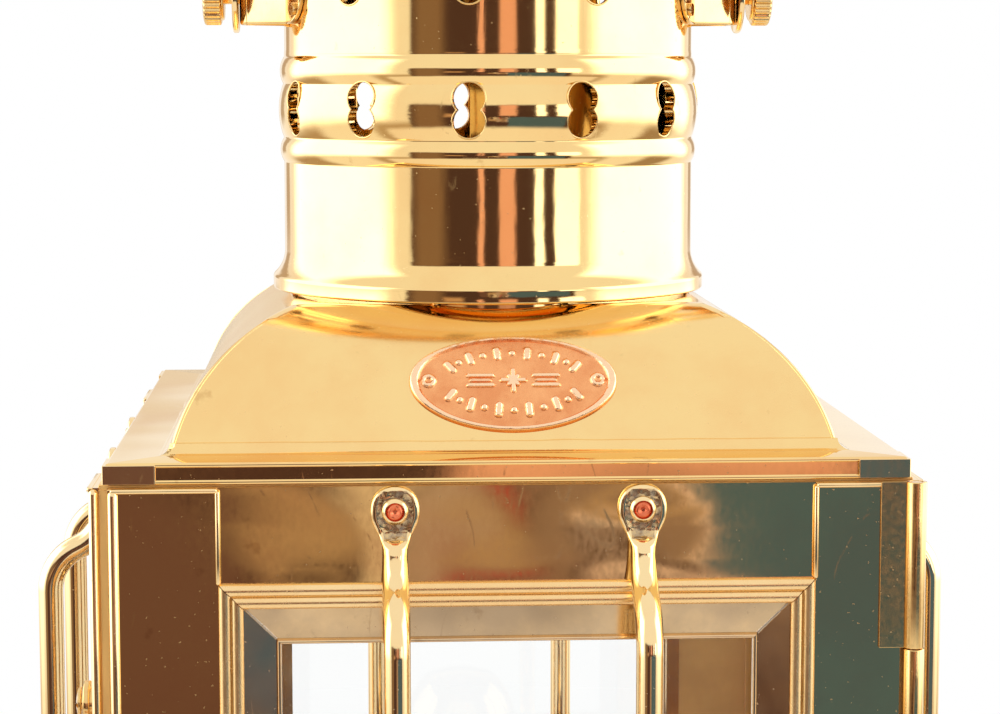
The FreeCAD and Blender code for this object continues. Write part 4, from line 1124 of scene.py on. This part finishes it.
def hinge():
    """Five-knuckle hinge: leaves on the door's front and on the right wall."""
    pin_low, pin_high = span("hinge_pin")
    centre = (pin_low + pin_high) / 2
    top, bottom = pin_high.z + 0.1, pin_low.z - 0.1
    pitch = (top - bottom + KNUCKLE_GAP - TOP_KNUCKLE) / (KNUCKLES - 1)
    spots = Matrix.Translation((centre.x, centre.y, 0))
    for name, node, body, numbers in (("hinge_leaf_door", "hinge_door_leaf", "door", (0, 2, 4)),
                                      ("hinge_leaf_wall", "hinge_wall_leaf", "body", (1, 3))):
        low, high = span(node)
        solid = Solid()
        for number in numbers:
            z_low = top - TOP_KNUCKLE - number * pitch + KNUCKLE_GAP
            z_high = z_low - KNUCKLE_GAP + pitch if number else top
            solid.add(knuckle(z_low, z_high), spots)
            if body == "door":
                face = span("door_strips")[0].y
                solid.add(block((low.x, face - LEAF, z_low), (centre.x - 1.2, face, z_high)))
            else:
                face = span("wall_right_strips")[1].x
                solid.add(block((face, centre.y + 1.2, z_low), (face + LEAF, high.y, z_high)))
                for up in (0.2, 0.5, 0.8):
                    seat = Matrix.Translation((face + LEAF, high.y - 5, z_low + (z_high - z_low) * up))
                    seat = seat @ Matrix.Rotation(math.pi / 2, 4, "Y")
                    solid.add(turned([(0, 0.55), (0.8, 0.5), (1.35, 0.3), (1.6, 0), (0, 0)], 24), seat)
        bevelled(solid.piece(name, body, [HARDWARE], [node], "brass_hardware", 30), 0.12, 2, 40)


# ---------------------------------------------------------------- latch

def latch():
    """The hook and keeper stay as they are; the screw gets a slotted, domed head."""
    keep("latch_hook", HARDWARE, 0.3)
    keep("keeper", HARDWARE, 0.25)
    low, high = span("latch_screw")
    middle = (low + high) / 2
    seat = Matrix.Translation((low.x, middle.y, middle.z)) @ Matrix.Rotation(-math.pi / 2, 4, "Y")
    outline = trace([(0, -(high.x - low.x)), (3.4, -(high.x - low.x)), (3.4, -2.4), (1.6, -2.4), (1.6, -1.4),
                     (3.3, -1.4), (3.6, -1.1, 0.3, 1), (3.4, -0.6), (0, 0, 9.9, 1)], 10)
    screw = Solid().add(turned(outline, 64), seat).piece("latch_screw_head", "body", [HARDWARE],
                                                         ["latch_screw"], "brass_hardware", 30)
    slot = block((low.x - 1, middle.y - 4, middle.z - 0.45), (low.x + 0.75, middle.y + 4, middle.z + 0.45))
    cut_away(screw, Solid().add(slot))


# ---------------------------------------------------------------- lamp

FOUNT_LOW, FOUNT_HIGH = span("fount")
FOUNT_RADIUS = FOUNT_HIGH.x
FOUNT_TOP = span("burner")[0].z + 3


def fount():
    """Drawn fount: rolled foot seam, banded wall, rounded shoulder, collar and filler neck."""
    floor, r, top = FOUNT_LOW.z, FOUNT_RADIUS, FOUNT_TOP
    steps = [(0, floor + 0.6), (r - 4, floor + 0.6), (r - 3.4, floor), (r - 2, floor), (r, floor + 2, 2, 1),
             (r, floor + 3.2), (r - 0.5, floor + 3.8, 0.8, -1), (r - 0.5, top - 12.5), (r, top - 12, 0.8, -1),
             (r, top - 10.4, 1.2, 1), (r - 0.6, top - 9.6, 0.8, -1), (r - 9, top - 0.2, 9, 1),
             (18, top - 0.1), (16.5, top + 0.4, 2, -1), (13.6, top + 0.4), (13.5, top + 4), (12, top + 4),
             (12, top - 1), (0, top - 1)]
    solid = Solid().add(turned(trace(steps, 8), 160))
    filler = span("filler_cap")
    seat = Matrix.Translation(((filler[0].x + filler[1].x) / 2, (filler[0].y + filler[1].y) / 2, 0))
    neck = trace([(5.3, top - 2), (8.0, top - 0.3), (6.5, top + 0.6, 1.5, -1), (6.5, top + 2.9),
                  (5.3, top + 2.9)], 15)
    solid.add(turned(neck, 48), seat)
    return solid.piece("oil_fount", "lamp", [SPUN], ["fount"], sharp=32)


def burner():
    """Burner: screwed foot, cupped gallery with a crimped collar, and the flat wick's tube."""
    top = FOUNT_TOP
    steps = [(3, top - 3), (11.9, top - 3), (11.9, top + 4.1), (15.6, top + 4.1), (16.2, top + 4.5, 0.5, 1),
             (18.9, top + 8, 6, 1), (19, top + 9.0), (18.6, top + 9.6), (19, top + 10.2), (19, top + 12.6),
             (18.2, top + 13.2, 0.7, 1), (14, top + 14), (12.2, top + 14), (12.2, top + 13), (3, top + 13)]

    def crimped(radius, height, angle):
        if top + 10.0 < height < top + 12.9 and radius > 18:
            return radius - 0.5 * (0.5 + 0.5 * math.cos(48 * angle))
        return radius

    solid = Solid().add(turned(refined(trace(steps, 10), 1.2), 480, crimped))
    wick = span("wick")
    half, deep = wick[1].x + 1.15, wick[1].y + 1.15
    rings = []
    for z, grow in ((top + 2, 0), (top + 25.8, 0), (top + 26.6, 0.25), (top + 27, 0.1)):
        rings.append([(x, y, z) for x, y in superellipse(half + grow, deep + grow, 6, 64)])
    for z in (top + 27, top + 2):
        rings.append([(x, y, z) for x, y in superellipse(half - 0.8, deep - 0.8, 6, 64)])
    solid.add(loft(rings, capped=False))
    return solid.piece("burner_gallery", "lamp", [HARDWARE], ["burner"], sharp=32)


def deflector():
    """Domed deflector with a slot over the wick."""
    top = FOUNT_TOP
    steps = [(17.2, top + 14.1), (18, top + 14.1), (18.3, top + 14.6, 0.4, 1), (18, top + 15.2),
             (18, top + 19), (11, top + 32, 20, 1), (0, top + 34, 30, 1), (0, top + 33.2),
             (11, top + 31.2, 29, -1), (17.2, top + 19, 19, -1)]
    obj = Solid().add(turned(trace(steps, 6), 96)).piece("deflector_dome", "lamp", [SPUN], ["deflector"])
    slot = loft([[(x, y, z) for x, y in superellipse(12, 3, 5, 48)] for z in (top + 27.5, top + 42)])
    cut_away(obj, Solid().add(slot))


def filler_cap():
    """Milled lid of the filler neck, with a shallow dish on top."""
    low, high = span("filler_cap")
    centre = (low + high) / 2
    r, tall = (high.x - low.x) / 2, high.z - low.z
    outline = trace([(0, tall - 1.8), (6.6, tall - 1.8), (6.6, 0), (r - 0.5, 0), (r, 0.5, 0.5, 1),
                     (r, tall - 1), (r - 1, tall, 1, 1), (r - 2.4, tall), (r - 3.0, tall - 0.5, 0.6, -1),
                     (0, tall - 0.5)], 15)
    seat = Matrix.Translation((centre.x, centre.y, low.z))
    solid = Solid().add(milled(outline, 24, r), seat)
    return solid.piece("filler_lid", "filler", [HARDWARE], ["filler_cap"], "brass_hardware", 28)


def wick_wheel():
    """Shaft with two feed wheels and the milled knob that stands out of the gallery."""
    low, high = span("wick_wheel")
    axis_y, axis_z = (low.y + high.y) / 2, (low.z + high.z) / 2
    seat = Matrix.Translation((low.x, axis_y, axis_z)) @ Matrix.Rotation(math.pi / 2, 4, "Y")
    length, r = high.x - low.x, (high.z - low.z) / 2
    knob = length - 3
    outline = trace([(0, 0), (1.3, 0), (1.3, knob), (2.4, knob), (r - 0.5, knob), (r, knob + 0.5, 0.5, 1),
                     (r, length - 0.6), (r - 0.6, length - 0.1, 0.6, 1), (r - 2, length - 0.2),
                     (r - 2.6, length - 0.7, 0.7, -1), (2.6, length - 0.7), (2.2, length, 0.6, 1),
                     (0, length)], 18)
    solid = Solid().add(milled(outline, 26, r), seat)
    for start in (12, 2):
        rim = trace([(1.2, start), (2.6, start), (3.2, start + 1, 1.2, 1), (2.6, start + 2, 1.2, 1),
                     (1.2, start + 2)], 20)
        solid.add(turned(rim, 40), seat)
    return solid.piece("wick_knob", "wheel", [HARDWARE], ["wick_wheel"], "brass_hardware", 28)


def wick():
    """Flat woven wick with a trimmed, ragged and charred top."""
    low, high = span("wick")
    half, deep = high.x, high.y
    rings = []
    count = 26
    for n in range(count + 1):
        z = low.z + (high.z - low.z) * n / count
        ring = []
        for x, y in superellipse(half - 0.05, deep - 0.05, 4, 72):
            fray = 0.5 * noise.noise(Vector((x * 1.4, y, 2.0))) * (n == count)
            ring.append((x * (1 - 0.01 * (n % 2)), y * (1 - 0.03 * (n % 2)), z + fray - 0.6 * (n == count)))
        rings.append(ring)
    material = cotton("woven_cotton", high.z * MM)
    return Solid().add(loft(rings)).piece("woven_wick", "wick", [material], ["wick"], "cotton", 60)


# ---------------------------------------------------------------- world, lights, floor and camera

def band(wiring, value, low, high, soft):
    """1 between two values, falling to 0 over a soft edge."""
    rise = wiring.ramp(value, low - soft, low + soft)
    fall = wiring.ramp(value, high - soft, high + soft, 1.0, 0.0)
    return wiring.math("MULTIPLY", rise, fall)


# What polished brass sees in the white tent: (azimuth, elevation, softness, colour), angles in degrees,
# azimuth 0 in front of the door and growing to its right. First the softboxes and the warm tones under
# them, then the tent's back seams, the dark opening in front with what stands in it, and the pale floor.
TENT = [
    ((58, 138), (-9, 40), 7, (3.0, 3.0, 3.0)),
    ((-140, -60), (-9, 40), 7, (3.0, 3.0, 3.0)),
    ((20, 66), (-60, -14), 5, (0.50, 0.38, 0.26)),
    ((-70, -22), (-60, -14), 5, (0.56, 0.44, 0.31)),
    ((96, 122), (-60, -13), 6, (0.42, 0.31, 0.21)),
    ((-146, -112), (-60, -13), 7, (0.52, 0.39, 0.27)),
    ((152, 162), (-4, 22), 2, (0.58, 0.45, 0.34)),
    ((-163, -153), (-4, 26), 2, (0.58, 0.46, 0.34)),
    ((171, 190), (-16, 6.8), 1.2, (0.85, 0.72, 0.55)),
    ((-190, -172), (-16, 6.8), 1.2, (0.85, 0.72, 0.55)),
    ((-46, 43), (-40, 9), 1.4, (0.085, 0.046, 0.04)),
    ((-44, -27), (-40, 9), 4, (0.27, 0.17, 0.11)),
    ((-26, -16), (-7.0, -3.2), 1.6, (0.62, 0.38, 0.24)),
    ((-8, -5), (-5, 9), 0.8, (1.0, 0.53, 0.43)),
    ((3, 12), (-5.5, 9), 1.2, (0.95, 0.5, 0.4)),
    ((23, 28), (-6, 9), 0.8, (2.2, 2.2, 2.2)),
    ((34, 48), (-6, 9), 1.0, (2.4, 2.4, 2.4)),
    ((-7, -3.2), (-15.5, -7.5), 0.5, (0.16, 0.085, 0.075)),
    ((-2.9, 10.3), (-13.0, -10.2), 0.5, (0.46, 0.31, 0.21)),
    ((-2.5, -2.0), (-10.3, -7.5), 0.3, (0.55, 0.38, 0.26)),
    ((-0.5, 0.9), (-10.6, -7.5), 0.6, (0.74, 0.6, 0.5)),
    ((1.4, 3.0), (-14, -7.5), 0.5, (0.48, 0.36, 0.33)),
    ((3.1, 3.8), (-10, -7.5), 0.25, (0.5, 0.09, 0.08)),
    ((4.2, 6.2), (-14, -7.5), 0.6, (0.30, 0.2, 0.17)),
    ((7.0, 7.7), (-14, -7.5), 0.25, (0.8, 0.6, 0.6)),
    ((7.8, 40), (-22, -7.5), 0.3, (0.085, 0.155, 0.245)),
    ((-62, 62), (-120, -21.3), 3, (1.02, 0.97, 0.92)),
]


def world():
    """White tent: plain light everywhere, and for reflections the tent with its dark front opening."""
    sky = bpy.data.worlds.new("tent")
    sky.use_nodes = True
    bpy.context.scene.world = sky
    wiring = Wiring(sky.node_tree)
    background = sky.node_tree.nodes["Background"]
    direction = wiring.add("TexCoord").outputs["Generated"]
    ripple = wiring.noise(direction, 7, 3, 0.5)
    ripple = wiring.math("MULTIPLY", wiring.math("SUBTRACT", ripple, 0.5), 2.2)
    shiver = wiring.noise(direction, 26, 2, 0.5, (1, 1, 2.2))
    shiver = wiring.math("MULTIPLY", wiring.math("SUBTRACT", shiver, 0.5), 4.5)
    axes = wiring.add("SeparateXYZ", {0: direction}).outputs
    backward = wiring.math("MULTIPLY", axes["Y"], -1.0)
    degrees = 180 / math.pi
    azimuth = wiring.math("MULTIPLY", wiring.math("ARCTAN2", axes["X"], backward), degrees)
    elevation = wiring.math("MULTIPLY", wiring.math("ARCSINE", axes["Z"]), degrees)
    azimuth = wiring.math("ADD", wiring.math("ADD", azimuth, ripple), shiver)
    elevation = wiring.math("ADD", elevation, ripple)
    colour = wiring.mix(wiring.ramp(elevation, -25, 35), (1.05, 1.03, 1.0), (1.0, 1.0, 1.0))
    for az, el, soft, tone in TENT:
        mask = wiring.math("MULTIPLY", band(wiring, azimuth, *az, soft), band(wiring, elevation, *el, soft))
        colour = wiring.mix(mask, colour, tone)
    glossy = wiring.add("LightPath").outputs["Is Glossy Ray"]
    wiring.feed(background.inputs["Color"], wiring.mix(glossy, (1.0, 1.0, 1.0), colour))


def lights():
    """One large soft light over the door side, for the floor's shadow."""
    data = bpy.data.lights.new("softbox", "AREA")
    data.shape = "RECTANGLE"
    data.size, data.size_y = 1.1, 0.8
    data.energy = 9
    obj = bpy.data.objects.new("softbox", data)
    obj.location = (-0.7, -0.9, 1.3)
    obj.rotation_euler = (Vector((0, 0, 0.15)) - obj.location).to_track_quat("-Z", "Y").to_euler()
    obj.visible_glossy = False
    bpy.context.scene.collection.objects.link(obj)


def floor():
    """Pale floor that fades into the white tent around the lantern."""
    mesh = bpy.data.meshes.new("floor")
    reach = 30.0
    mesh.from_pydata([(-reach, -reach, 0), (reach, -reach, 0), (reach, reach, 0), (-reach, reach, 0)], [],
                     [[0, 1, 2, 3]])
    material, wiring, shader, place = new_material("pale_floor")
    distance = wiring.add("VectorMath", {0: place}, operation="LENGTH").outputs["Value"]
    far = wiring.ramp(distance, 0.22, 0.5)
    shader.inputs["Base Color"].default_value = (0.86, 0.855, 0.845, 1)
    wiring.feed(shader.inputs["Roughness"], wiring.ramp(wiring.noise(place, 40), 0.3, 0.7, 0.55, 0.7))
    glow = wiring.add("Emission", {"Color": (1, 1, 1, 1), "Strength": 1.0})
    blend = wiring.add("MixShader", {0: far, 1: shader.outputs[0], 2: glow.outputs[0]})
    wiring.feed(material.node_tree.nodes["Material Output"].inputs["Surface"], blend.outputs[0])
    mesh.materials.append(material)
    obj = bpy.data.objects.new("floor", mesh)
    obj.visible_glossy = False
    bpy.context.scene.collection.objects.link(obj)


def camera():
    """Close in front of the door and a little to its left, looking slightly down and to the right."""
    spot, down, right = (-0.0352, -0.650, 0.2822), math.radians(6.4), math.radians(3.37)
    data = bpy.data.cameras.new("camera")
    data.sensor_width = 36
    data.lens = 91.15
    data.clip_start = 0.01
    obj = bpy.data.objects.new("camera", data)
    obj.location = spot
    obj.rotation_euler = (math.pi / 2 - down, 0, -right)
    bpy.context.scene.collection.objects.link(obj)
    bpy.context.scene.camera = obj


# ---------------------------------------------------------------- the lantern

for wall, (prefix, body, _) in WALLS.items():
    window_sheet(wall)
    keep(f"{prefix}_strips", WALL, 0.3)
    keep(f"{prefix}_glass", GLASS, 0.4)
    moulding(wall)
    window_ring(wall)
    strip_hems(wall)
    for hand in ("a", "b"):
        guard_rod(wall, hand)
rivets(["front"], "door_rod_rivets", "door", "door_rivets")
rivets(["left", "right", "back"], "wall_rod_rivets", "body", "wall_rivets")
base_tray()
lamp_ring()
for node, material, width in (("corner_posts", INSIDE, 0.2), ("eaves_ring", INSIDE, 0.2),
                              ("roof_corners", TRIM, 0.25), ("ear_rivets", HARDWARE, 0.5),
                              ("bail_studs", HARDWARE, 0.3), ("hinge_pin", HARDWARE, 0.2)):
    keep(node, material, width)
roof_plate()
hood()
hood_seams()
badge()
flue()
vent_lips()
cap()
ear(-1, "bail_ear_left", "ear_left")
ear(1, "bail_ear_right", "ear_right")
thumb_nut(-1, "knurled_nut_left", "nut_left", "thumb_nut_left")
thumb_nut(1, "knurled_nut_right", "nut_right", "thumb_nut_right")
bail()
hinge()
latch()
fount()
burner()
deflector()
filler_cap()
wick_wheel()
wick()

world()
lights()
floor()
camera()
bpy.context.scene.view_settings.view_transform = "Standard"
